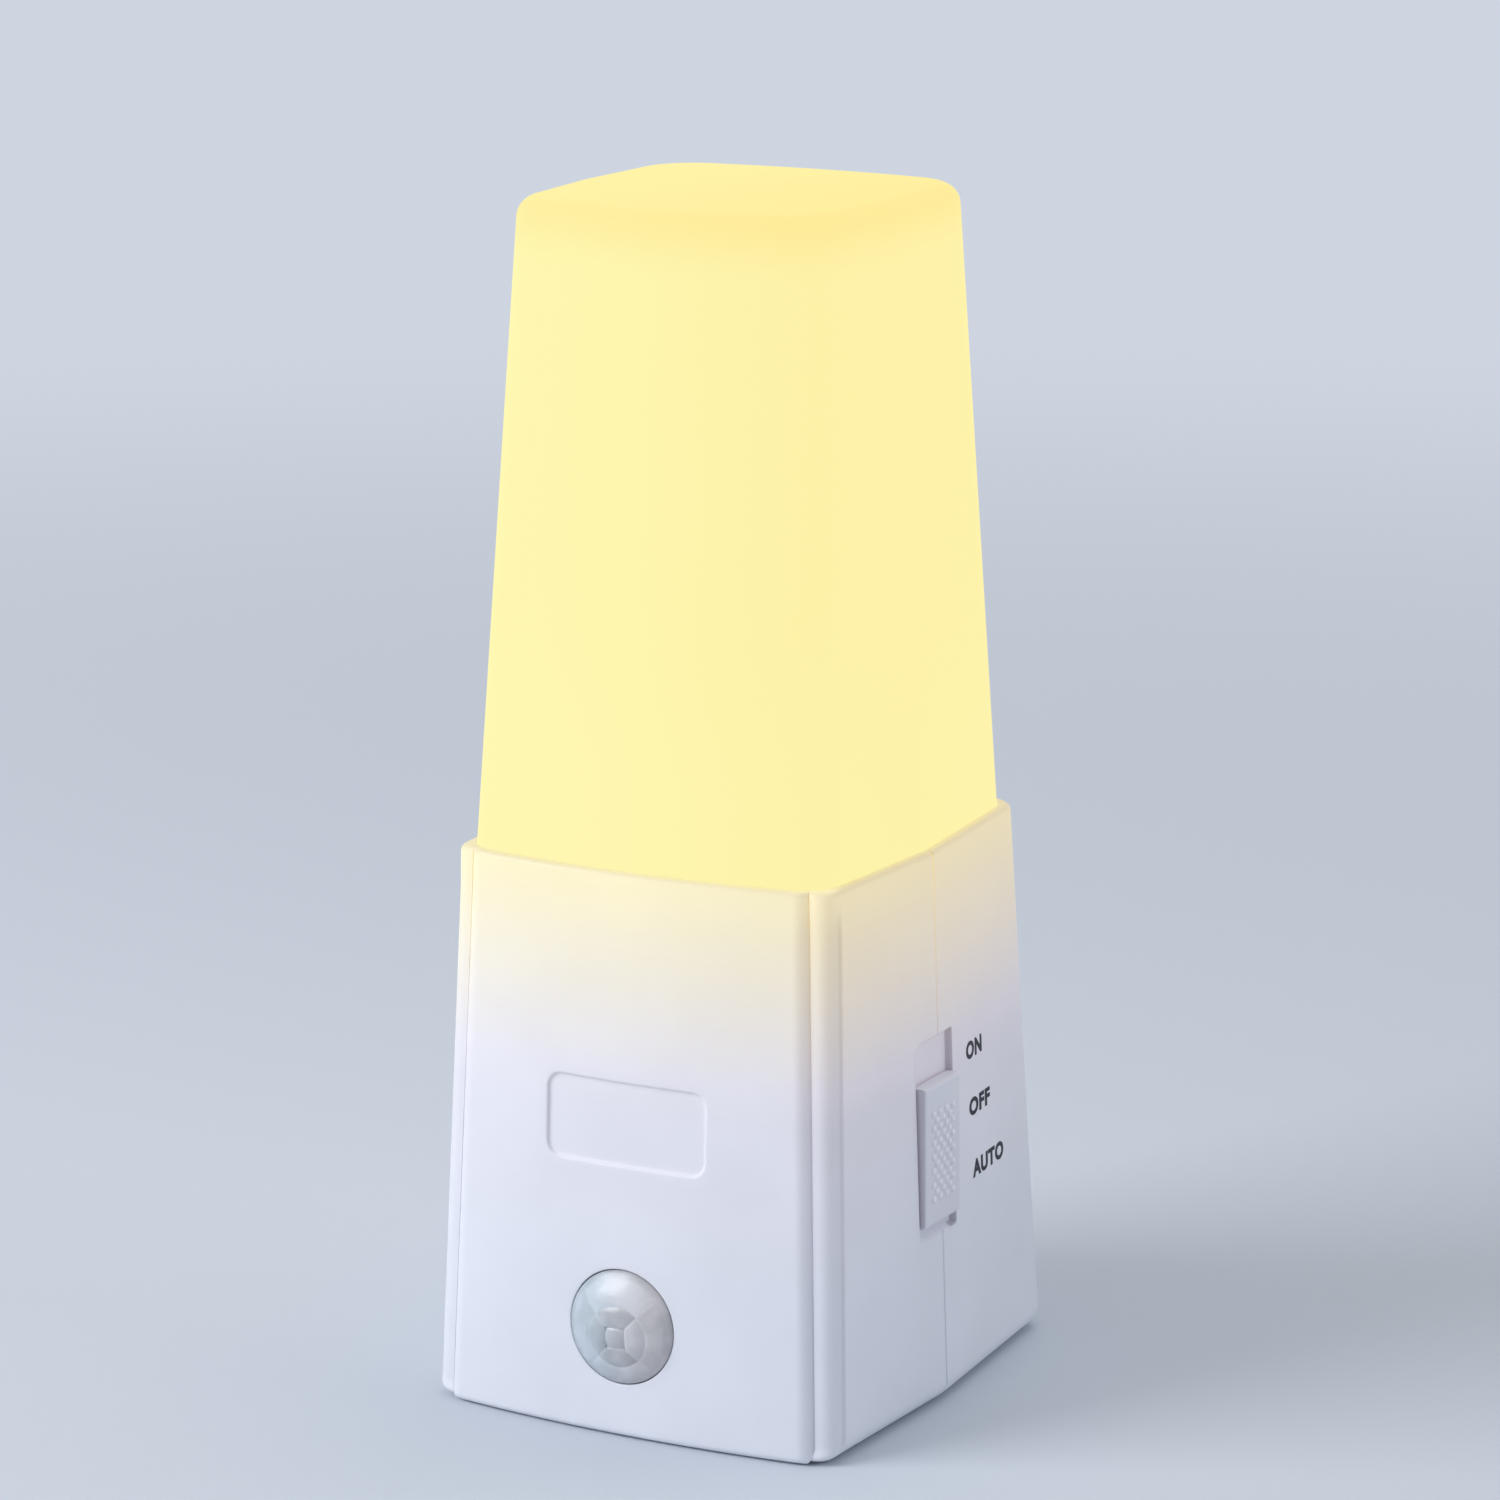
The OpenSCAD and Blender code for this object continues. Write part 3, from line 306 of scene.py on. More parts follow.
def whole(grid):
    """A grid's cells, all solid, and the same cells with none chosen."""
    solid = np.ones((grid.shape[0] - 1, grid.shape[1] - 1), bool)
    return solid, np.zeros_like(solid)


def ease(t):
    """A soft step from 0 to 1: 3 t squared less 2 t cubed."""
    t = np.clip(t, 0, 1)
    return t * t * (3 - 2 * t)


def quarter(n):
    """Angles of a quarter turn in n steps."""
    return np.linspace(0, math.pi / 2, n + 1)


def round_in(h, r):
    """How far a quarter round of radius r still draws in at a height h from its edge."""
    h = np.clip(h, 0, r)
    return r - np.sqrt(r * r - (r - h) ** 2)


def lines(*parts):
    """Sorted grid lines from several lists, with near doubles left out."""
    found = np.sort(np.concatenate([np.atleast_1d(p) for p in parts]))
    return found[np.concatenate([[True], np.diff(found) > 0.004])]


# Plan of the base: the walls lean in towards the rim

# Distance from the middle up to which the side walls have columns at fixed places
SIDE_NEAR = 12.0
# Height at which the rows of the side and of the panel come together
MEET_Z = 8.0
# Corner radius inside the rim, above the ledge
RIM_CORNER_R = 5.1
# Room for the knob's stem above and below the middle of its travel
STEM_ROOM = 3.0
# Half of the width of the stem's window in the front and in the rear half
STEM_FRONT, STEM_REAR = 2.32, 2.3
# Two grid lines this far to either side of an edge make it sharp
CLOSE = np.array([-0.02, 0.02])
# Columns at the soft edge along the seam
SEAM_COLUMNS = np.array([0, 0.05, 0.15, 0.4, 0.8, 1.3])
# Steps of the round along the bottom edge
FOOT_STEPS = 8


def seam_half(v, z):
    """Half of the width at the seam: half the rim plus the drop from the rim times the lean's tangent."""
    return v.rim_w / 2 + (v.base_h - z) * math.tan(v.side_lean)


def front_dist(v, z):
    """From the middle to the front at a height."""
    return v.rim_front + (v.base_h - z) * math.tan(v.front_lean)


def rear_dist(v, z):
    """From the middle to the rear at a height."""
    return v.rim_rear + (v.base_h - z) * math.tan(v.rear_lean)


def panel_half(v, z):
    """Half of the front panel's width at a height."""
    return seam_half(v, z) - v.front_draw - v.panel_inset


def panel_face(v, x, z):
    """Depth of the bowed panel: the front plane, set back by the square of the share of the half width."""
    return -front_dist(v, z) + v.front_bow * (x / (panel_half(v, z) - 0.9 * v.panel_step)) ** 2


def slot_away(v, y, z):
    """Distance to the slot's outline, a rectangle with a rounded upper front corner, negative inside it."""
    half_y, half_z = v.slot_w / 2, v.slot_half * math.cos(v.side_lean)
    dy, dz = y - v.seam_y + v.slot_shift, z - v.slot_z
    round_r, sharp_r = 2.0, 0.35
    r = np.where((dy < 0) & (dz > 0), round_r, sharp_r)
    qy, qz = np.abs(dy) - half_y + r, np.abs(dz) - half_z + r
    return np.hypot(np.maximum(qy, 0), np.maximum(qz, 0)) + np.minimum(np.maximum(qy, qz), 0) - r


def slot_ramp(v, y, z):
    """1 at the lower end of the slot's front part, where its floor runs out in a ramp, and 0 elsewhere."""
    return ease((v.slot_z - 0.8 * v.slot_half - z) / 1.0) * ease((v.seam_y + 3.0 - y) / 1.2)


def slot_inside(v, y, z):
    """1 in the switch slot, 0 outside, with soft edges, softer on the ramp."""
    return ease((0.05 - slot_away(v, y, z)) / (0.2 + 1.1 * slot_ramp(v, y, z)))


def slot_shade(v, y, z):
    """Shade of the slot: a bell along its outline, fainter on the ramp."""
    return (0.65 - 0.55 * slot_ramp(v, y, z)) * np.exp(-((slot_away(v, y, z) + 0.06) / 0.16) ** 2)


def slot_lines(centre, half):
    """Grid lines that bunch up at the two edges of the slot."""
    near = np.array([-0.5, -0.25, -0.1, -0.04, 0.02, 0.08, 0.14, 0.2, 0.35, 0.6, 1.0, 1.5, 2.0])
    return np.concatenate([centre - half + near, centre + half - near])


def stem_reach(v):
    """Half of the height of the stem's window."""
    return v.knob_travel / 2 + STEM_ROOM


def switch_rows(v):
    """Heights of the rows that the slot and the stem's window need."""
    reach = stem_reach(v)
    return np.concatenate([slot_lines(v.slot_z, v.slot_half * math.cos(v.side_lean)),
                           v.slot_z - reach + CLOSE, v.slot_z + reach + CLOSE])


def stem_window(v, heights, columns):
    """Cells of the stem's window, by the heights of the rows and the number of columns."""
    middles = (heights[:-1] + heights[1:]) / 2
    return np.ix_(np.nonzero(np.abs(middles - v.slot_z) < stem_reach(v))[0], np.arange(columns))


def seam_columns(v, toward, stem_half):
    """Fixed columns of a half's side wall from the seam towards the front (-1) or the rear (1).
    Returns the half's edge at the seam, the columns and how many of them lie in the stem's window."""
    start, window = toward * v.seam_y + v.seam_gap / 2, toward * v.seam_y + stem_half
    near = lines(start + SEAM_COLUMNS, toward * slot_lines(v.seam_y - v.slot_shift, v.slot_w / 2),
                 window + CLOSE, np.linspace(1, SIDE_NEAR, 16))
    near = near[(near >= start - 1e-6) & (near < SIDE_NEAR)]
    return toward * start, toward * near, int(np.sum(near < window))


def side_x(v, y, z, inset, draw, seam_end, corner_y):
    """Side wall: widest at the seam and drawn in evenly towards the corner."""
    return seam_half(v, z) - inset - draw * np.abs((y - seam_end) / (corner_y - seam_end))


def slotted_x(v, x, y, z):
    """Side wall with the slot let into it: in the slot, the wall is no further out than the slot's floor."""
    floor_x = seam_half(v, z) - v.slot_d
    return x + (np.minimum(x, floor_x) - x) * slot_inside(v, y, z)


def base_rows(v, extra):
    """Rows of a half of the base from the seam under the floor, out, round the foot, up and over the rim.
    Returns for each row the height and inset of the side, the height and inset of the panel, the share of the
    way out from the seam and the height of the inside."""
    foot = quarter(FOOT_STEPS)
    under = np.array([0.0, 0.3, 0.6, 0.835, 0.85, 0.94])
    n_under, n_foot = len(under), len(foot)
    top_z = v.base_h - v.rim_round
    low = v.under_z + v.foot_round
    panel_low = v.panel_z + v.panel_round
    climb = np.linspace(0, 1, 11)[1:] ** 1.4
    wall_z = lines(np.linspace(MEET_Z, top_z, 96)[1:], extra, [v.ledge_z - 0.01, v.ledge_z + 0.01])
    wall_z = wall_z[wall_z > MEET_Z + 0.02]
    rim = quarter(6)[1:]
    rim_z, rim_in = top_z + v.rim_round * np.sin(rim), v.rim_round * (1 - np.cos(rim))
    side_z = np.concatenate([np.full(n_under, v.under_z), v.under_z + v.foot_round * (1 - np.cos(foot)),
                             low + (MEET_Z - low) * climb, wall_z, rim_z])
    side_in = np.concatenate([np.full(n_under, v.foot_round), v.foot_round * (1 - np.sin(foot)),
                              0 * climb, 0 * wall_z, rim_in])
    lip = np.where(under > 0.84, v.panel_z, v.under_z)
    panel_z = np.concatenate([lip, v.panel_z + v.panel_round * (1 - np.cos(foot)),
                              panel_low + (MEET_Z - panel_low) * climb, wall_z, rim_z])
    panel_in = np.concatenate([np.full(n_under, v.panel_round), v.panel_round * (1 - np.sin(foot)),
                               0 * climb, 0 * wall_z, rim_in])
    out = np.concatenate([under, np.ones(n_foot + len(climb) + len(wall_z) + len(rim_z))])
    floor_z, curve_z = v.under_z + v.wall, v.under_z + v.wall + 1.2
    inner_z = np.concatenate([np.full(n_under, floor_z), np.linspace(floor_z, curve_z, n_foot),
                              curve_z + (MEET_Z - curve_z) * climb, wall_z, rim_z])
    return [a[:, None] for a in (side_z, side_in, panel_z, panel_in, out, inner_z)]


def rim_shade(v, z):
    """Shade on the rim's round, so that it looks no brighter than the wall below it."""
    return 0.3 * ease((z - v.base_h + 1.2 * v.rim_round) / v.rim_round)


def seam_ends(plan, out, seam_end, half):
    """Underside: each point lies a share of the way from its place on the seam to the outline."""
    n = plan.shape[1]
    start = np.stack([np.broadcast_to(half, (plan.shape[0], n)) * np.linspace(1, -1, n),
                      np.full((plan.shape[0], n), seam_end)], -1)
    return start + (plan - start) * out[..., None]


# Front half of the base

# Power of the corner strip's superellipse and of the fall of the panel's edge
STRIP_POWER, ROLL_POWER = 0.85, 2.5
# Width of the fine groove on either side of its middle
GROOVE_HALF = 0.28
# Steps of the face's columns to either side of the middle, and of the holes' blocks among them
FACE_STEPS, LENS_STEPS, RECESS_STEPS = 40, 17, 23
# Height at which the lens's block begins, and how far it and the recess's block reach above their middles
LENS_LOW, LENS_UP, RECESS_UP = 4.2, 11.2, 9
# Depth of recess that the steps of its soft edge are given for
RECESS_DRAWN = 0.45


def front_columns(v):
    """Columns of the front half's right side, from the seam towards the front."""
    seam_end, near, _ = seam_columns(v, -1, STEM_FRONT)
    beside = np.array([0.1, 0.2, GROOVE_HALF, 0.45, 0.75])
    arc = np.concatenate([np.arcsin((beside / v.panel_inset) ** (1 / STRIP_POWER)),
                          np.radians(np.linspace(15, 90, 11))])
    return seam_end, near, (np.linspace(0, 1, 13)[1:], beside[::-1]), arc, np.linspace(0, 1, 9)[1:]


def front_side(near, run, corner_y):
    """Depths of the side wall's columns: fixed near the seam, shares of the rest, then up to the corner."""
    shares, beside = run
    last = beside[0] + 0.4
    return np.concatenate([np.broadcast_to(near, (len(corner_y), len(near))),
                           -SIDE_NEAR + (corner_y + last + SIDE_NEAR) * shares,
                           corner_y + beside, corner_y], 1)


def front_outer(v, rows, face_t):
    """Outside of the front half: side wall, sunk strip, rolled panel edge and bowed face, then mirrored.
    The strip is a quarter of a superellipse: the cosine and sine of the turn, each raised to a power. Its
    foot eases half way over from the side's to the panel's as it turns. The panel's edge falls with a power
    of the way to the crease, by a step that is less at the foot. The shade is a soft bell beside the groove,
    and grows towards the crease on the panel's edge.
    Returns the points, the number of columns before the face and the shades."""
    side_z, side_in, panel_z, panel_in, out, _ = rows
    seam_end, near, run, arc, roll = front_columns(v)
    half_far = seam_half(v, side_z) - v.front_draw - side_in
    step = v.panel_step * (0.3 + 0.7 * ease((panel_z - v.panel_z) / 1.2))
    corner_y = -(front_dist(v, side_z) - step - side_in - v.front_bow - v.panel_inset)
    y_side = front_side(near, run, corner_y)
    x_side = side_x(v, y_side, side_z, side_in, v.front_draw, seam_end, corner_y)
    x_side = x_side - v.seam_soft * np.clip(1 - (seam_end - y_side) / v.seam_soft, 0, 1) ** 2
    above_foot = ease((side_z - v.under_z - 0.6) / 1.8)
    fade = ease((v.base_h - 1.0 - side_z) / 5.0) * above_foot
    sink, groove = v.strip_sink * fade, v.strip_groove * fade
    x_side = x_side - groove * np.clip(1 - (y_side - corner_y) / GROOVE_HALF, 0, 1)
    along = v.panel_inset * np.sin(arc) ** STRIP_POWER
    strip_end = half_far - v.panel_inset
    arc_r = v.panel_inset - sink
    over = 0.5 * ease(along / v.panel_inset)
    x_arc = strip_end + arc_r * np.abs(np.cos(arc)) ** STRIP_POWER
    x_arc = x_arc - groove * np.clip(1 - along / GROOVE_HALF, 0, 1)
    y_arc = corner_y - arc_r * np.sin(arc) ** STRIP_POWER - (side_in - panel_in) * over
    bead_z, bead_in = (side_z + panel_z) / 2, (side_in + panel_in) / 2
    edge = panel_half(v, panel_z) - round_in(panel_z - v.panel_z, v.panel_corner_r)
    x_bead = strip_end + (np.minimum(edge, strip_end - 0.1) - strip_end) * np.array([0.5, 1.0])
    y_bead = panel_face(v, x_bead, bead_z) + step + bead_in + sink
    x_roll = edge - v.panel_edge * roll
    y_roll = panel_face(v, x_roll, panel_z) + panel_in + (step + sink) * (1 - roll) ** ROLL_POWER
    x_face = (edge - v.panel_edge) * face_t
    y_face = panel_face(v, x_face, panel_z) + panel_in
    right_x = np.concatenate([x_side, x_arc, x_bead, x_roll], 1)
    right_y = np.concatenate([y_side, y_arc, y_bead, y_roll], 1)
    left_y = right_y[:, ::-1].copy()
    right_z = np.concatenate([np.broadcast_to(side_z, y_side.shape), side_z + (panel_z - side_z) * over,
                              bead_z, bead_z, np.broadcast_to(panel_z, x_roll.shape)], 1)
    shade_side = 0.25 * np.exp(-((y_side - corner_y) / 0.3) ** 2)
    shade_arc = 0.25 * np.exp(-(along / 0.4) ** 2) + 0.2 * np.exp(-(along / 2) ** 2)
    shade_bead = np.array([0.15, 0.25]) * above_foot
    shade_strip = np.concatenate([shade_side * fade, shade_arc * fade], 1)
    right_shade = np.concatenate([shade_strip, shade_bead, 0.12 * (1 - roll) * fade], 1)
    left_shade = np.concatenate([0.2 * shade_strip, shade_bead, 0 * x_roll], 1)[:, ::-1]
    right_shade[:, :x_side.shape[1]] += slot_shade(v, y_side, side_z)
    right_y[:, 0] += v.seam_gap * np.clip(20 * slot_inside(v, y_side[:, :1], side_z)[:, 0], 0, 1)
    slotted = right_x.copy()
    slotted[:, :x_side.shape[1]] = slotted_x(v, x_side, y_side, side_z)
    plan = np.stack([np.concatenate([slotted, x_face, -right_x[:, ::-1]], 1),
                     np.concatenate([right_y, y_face, left_y], 1)], -1)
    height = np.concatenate([right_z, np.broadcast_to(panel_z, x_face.shape), right_z[:, ::-1]], 1)
    tone = np.maximum(np.concatenate([right_shade, 0 * x_face, left_shade], 1), rim_shade(v, side_z))
    plan = seam_ends(plan, out, seam_end, seam_half(v, side_z) - side_in)
    return np.concatenate([plan, height[..., None]], -1), right_x.shape[1], tone


def front_inner(v, rows, face_t, shape):
    """Inside of the front half: side wall, corner round and bowed wall, wider above the ledge."""
    _, _, _, _, out, inner_z = rows
    seam_end, near, run, arc, roll = front_columns(v)
    above = inner_z > v.ledge_z
    inset = np.where(above, v.rim_wall, v.wall)
    front_inset = np.where(above, v.rim_wall, v.wall + v.panel_step)
    r = np.where(above, RIM_CORNER_R, v.panel_inset)
    half_far = seam_half(v, inner_z) - v.front_draw - inset
    corner_y = -(front_dist(v, inner_z) - front_inset - v.front_bow - r)
    y_side = front_side(near, run, corner_y)
    x_side = side_x(v, y_side, inner_z, inset, v.front_draw, seam_end, corner_y)
    turn = np.linspace(0, math.pi / 2, len(arc) + 2 + len(roll) + 1)[1:]
    x_arc, y_arc = half_far - r + r * np.cos(turn), corner_y - r * np.sin(turn)
    flat = half_far - r
    x_face = flat * face_t
    y_face = -(front_dist(v, inner_z) - front_inset) + v.front_bow * face_t ** 2
    right_x, right_y = np.concatenate([x_side, x_arc], 1), np.concatenate([y_side, y_arc], 1)
    plan = np.stack([np.concatenate([right_x, x_face, -right_x[:, ::-1]], 1),
                     np.concatenate([right_y, y_face + 0 * x_face, right_y[:, ::-1]], 1)], -1)
    plan = seam_ends(plan, out, seam_end, seam_half(v, inner_z) - inset)
    return np.concatenate([plan, np.broadcast_to(inner_z, shape)[..., None]], -1)


def ring_patch(border, centre, curve, profile, surface):
    """Rings from the border of a block to a closed curve and on along a profile.
    The first rings blend, in the face's own two directions, from the border to the curve. Each later ring is
    the curve grown by the first value of a step of the profile and sunk below the surface by the second."""
    flat = border[:, [0, 2]] - centre
    target = curve(flat, profile[0][0])
    rings = [(flat + (target - flat) * share, 0.0) for share in (0.0, 0.25, 0.5, 0.75)]
    rings += [(curve(flat, grown), depth) for grown, depth in profile]
    made = [np.stack([p[:, 0] + centre[0], surface(p[:, 0] + centre[0], p[:, 1] + centre[1]) + d,
                      p[:, 1] + centre[1]], -1) for p, d in rings]
    made[0] = border
    return np.array(made)


def round_curve(radius):
    """Circle in the direction of each border point, grown by a value."""
    def curve(flat, grown):
        return flat / np.linalg.norm(flat, axis=1, keepdims=True) * (radius + grown)
    return curve


def plate_curve(half_x, half_z, radius):
    """Rounded rectangle met by scaling the border to it, its corners turned on an arc, grown by a value."""
    def curve(flat, grown):
        share = flat / np.abs(flat).max(axis=0)
        limit = np.array([half_x + grown, half_z + grown])
        r = max(radius + grown, 0.05)
        point = share * limit
        core = np.clip(point, -(limit - r), limit - r)
        off = point - core
        size = np.linalg.norm(off, axis=1, keepdims=True)
        return core + off / np.maximum(size, 1e-9) * r
    return curve


def front_half_blocks(v):
    """Blocks of the front half, with the recess and the lens hole in its face, and each point's shade."""
    seat_r = v.lens_d / 2 + v.lens_gap
    rows = base_rows(v, switch_rows(v))
    face_t = np.linspace(1, -1, 2 * FACE_STEPS + 1)[1:]
    outer, first, shade_out = front_outer(v, rows, face_t)
    inner = front_inner(v, rows, face_t, outer.shape[:2])
    solid, open_outer = whole(outer)
    open_inner = open_outer.copy()
    heights = rows[0][:, 0]
    wall_from = int(np.searchsorted(rows[4][:, 0], 1.0)) + FOOT_STEPS + 1

    def rows_at(low, high):
        found = np.nonzero((heights >= low) & (heights <= high) & (np.arange(len(heights)) >= wall_from))[0]
        return found[0], found[-1]

    middle = first + FACE_STEPS - 1
    lens_rows = rows_at(LENS_LOW, v.lens_z + LENS_UP)
    lens_cols = (middle - LENS_STEPS, middle + LENS_STEPS)
    plate_rows = rows_at(v.recess_z - RECESS_UP, v.recess_z + RECESS_UP)
    plate_cols = (middle - RECESS_STEPS, middle + RECESS_STEPS)
    for (j0, j1), (i0, i1) in ((lens_rows, lens_cols), (plate_rows, plate_cols)):
        open_outer[j0:j1, i0:i1] = True
    open_inner[lens_rows[0]:lens_rows[1], lens_cols[0]:lens_cols[1]] = True
    solid[stem_window(v, heights, seam_columns(v, -1, STEM_FRONT)[2])] = False
    blocks = thick_blocks(outer, inner, solid, open_outer, open_inner)
    shades = [shade_out, np.broadcast_to(rim_shade(v, rows[0]), inner.shape[:2])]

    def outer_face(x, z):
        return panel_face(v, x, z)

    def inner_face(x, z):
        return -(front_dist(v, z) - deep) + v.front_bow * (x / (panel_half(v, z) - v.wall)) ** 2

    hole = round_curve(seat_r)
    deep = v.panel_step + v.wall
    soft_edge = [(0.5, 0), (0.16, 0.0), (0.07, 0.03), (0.02, 0.08), (0, 0.2), (0, 0.8)]
    outside = ring_patch(block_border(outer, lens_rows, lens_cols), np.array([0, v.lens_z]), hole,
                         soft_edge, outer_face)
    inside = ring_patch(block_border(inner, lens_rows, lens_cols),
                        np.array([0, v.lens_z - deep * math.sin(v.front_lean)]), hole,
                        [(0.2, 0), (0, 0)], inner_face)
    tube = np.array([outside[-1], inside[-1]])
    n = outside.shape[1]
    # Painted shade on the last rings down into the lens hole and on the tube behind them.
    deeper = np.concatenate([np.zeros(len(outside) - 2), [0.3, 0.8]])
    for rings, depth in ((outside, deeper), (inside, np.zeros(len(inside))), (tube, np.full(2, 0.9))):
        blocks.append((rings, quads(len(rings), n, wrap=True)))
        shades.append(np.repeat(depth, n))

    plate = plate_curve(v.recess_w / 2, v.recess_h / 2, v.recess_r)
    d, part = v.recess_d, v.recess_d / RECESS_DRAWN
    soft_edge = [(0.45, 0), (0.22, 0.015), (0.08, 0.07 * part), (0.0, 0.17 * part), (-0.06, 0.3 * part),
                 (-0.16, 0.4 * part), (-0.36, d), (-0.8, d)]
    centre = np.array([0, v.recess_z])
    sunk = ring_patch(block_border(outer, plate_rows, plate_cols), centre, plate, soft_edge, outer_face)
    flat = sunk[-1][:, [0, 2]] - centre
    share = np.array([1, 0.85, 0.7, 0.5, 0.3, 0.12, 0.0])[:, None]
    x, z = flat[:, 0] * share + centre[0], flat[:, 1] * share + centre[1]
    floor = np.stack([x, outer_face(x, z) + d, z], -1)
    for rings in (sunk, floor):
        blocks.append((rings, quads(len(rings), rings.shape[1], wrap=True)))
        shades.append(np.zeros(rings.shape[:2]))
    return blocks, np.concatenate([s.ravel() for s in shades])


# Rear half of the base

# Places of the two hinge tabs to either side, half of a tab's pocket across and up, and the pocket's depth
TAB_X, TAB_HALF, TAB_UP, TAB_DEEP = 13, 3.2, 1.9, 3.6
# Half of the width over which the rear face has its own columns
REAR_FLAT = 24.2


def rear_frame(v):
    """The battery bay's own place on the leaning rear face, and its sizes."""
    cell_d, pitch, spring, contact = 14.2, 14.5, 4.5, 0.4
    below, above, front = 7.6, 2.1, 2.1
    bay_gap, door_lap, door_gap = 0.3, 0.8, 0.2
    pin_drop, pin_in = 3.1, 1.7
    floor_z = v.under_z + v.wall
    cell_l = v.ledge_z - floor_z - below - above - spring - 2 * contact
    half_z = (cell_l + spring) / 2 + contact
    half_x = pitch + cell_d / 2 + bay_gap
    hinge_z = -half_z - pin_drop
    swing = math.hypot(0.1, pin_drop - bay_gap)
    return SimpleNamespace(z=floor_z + below + half_z, half_x=half_x, half_z=half_z, front=front,
                           back=front + cell_d + door_gap, hinge_z=hinge_z,
                           open_half=half_x + door_lap + door_gap, open_top=half_z + door_lap + door_gap,
                           open_low=hinge_z + math.sqrt(swing ** 2 - pin_in ** 2) - bay_gap)


def rear_depth(v, bay, x, up, grow):
    """Depth of the door's opening, the bay and the hinge pockets below the rear face, each grown by grow."""
    def within(middle, half, z0, z1):
        return (np.abs(x - middle) < half + grow) & (up > z0 - grow) & (up < z1 + grow)

    hollows = [(0, bay.open_half, bay.open_low, bay.open_top, bay.front)]
    for side in (-TAB_X, TAB_X):
        hollows += [(side, TAB_HALF, bay.hinge_z, bay.open_low, bay.front),
                    (side, TAB_HALF, bay.hinge_z - TAB_UP, bay.hinge_z + TAB_UP, TAB_DEEP)]
    hollows.append((0, bay.half_x, -bay.half_z, bay.half_z, bay.back))
    return np.max([within(*where) * deep for *where, deep in hollows], axis=0)


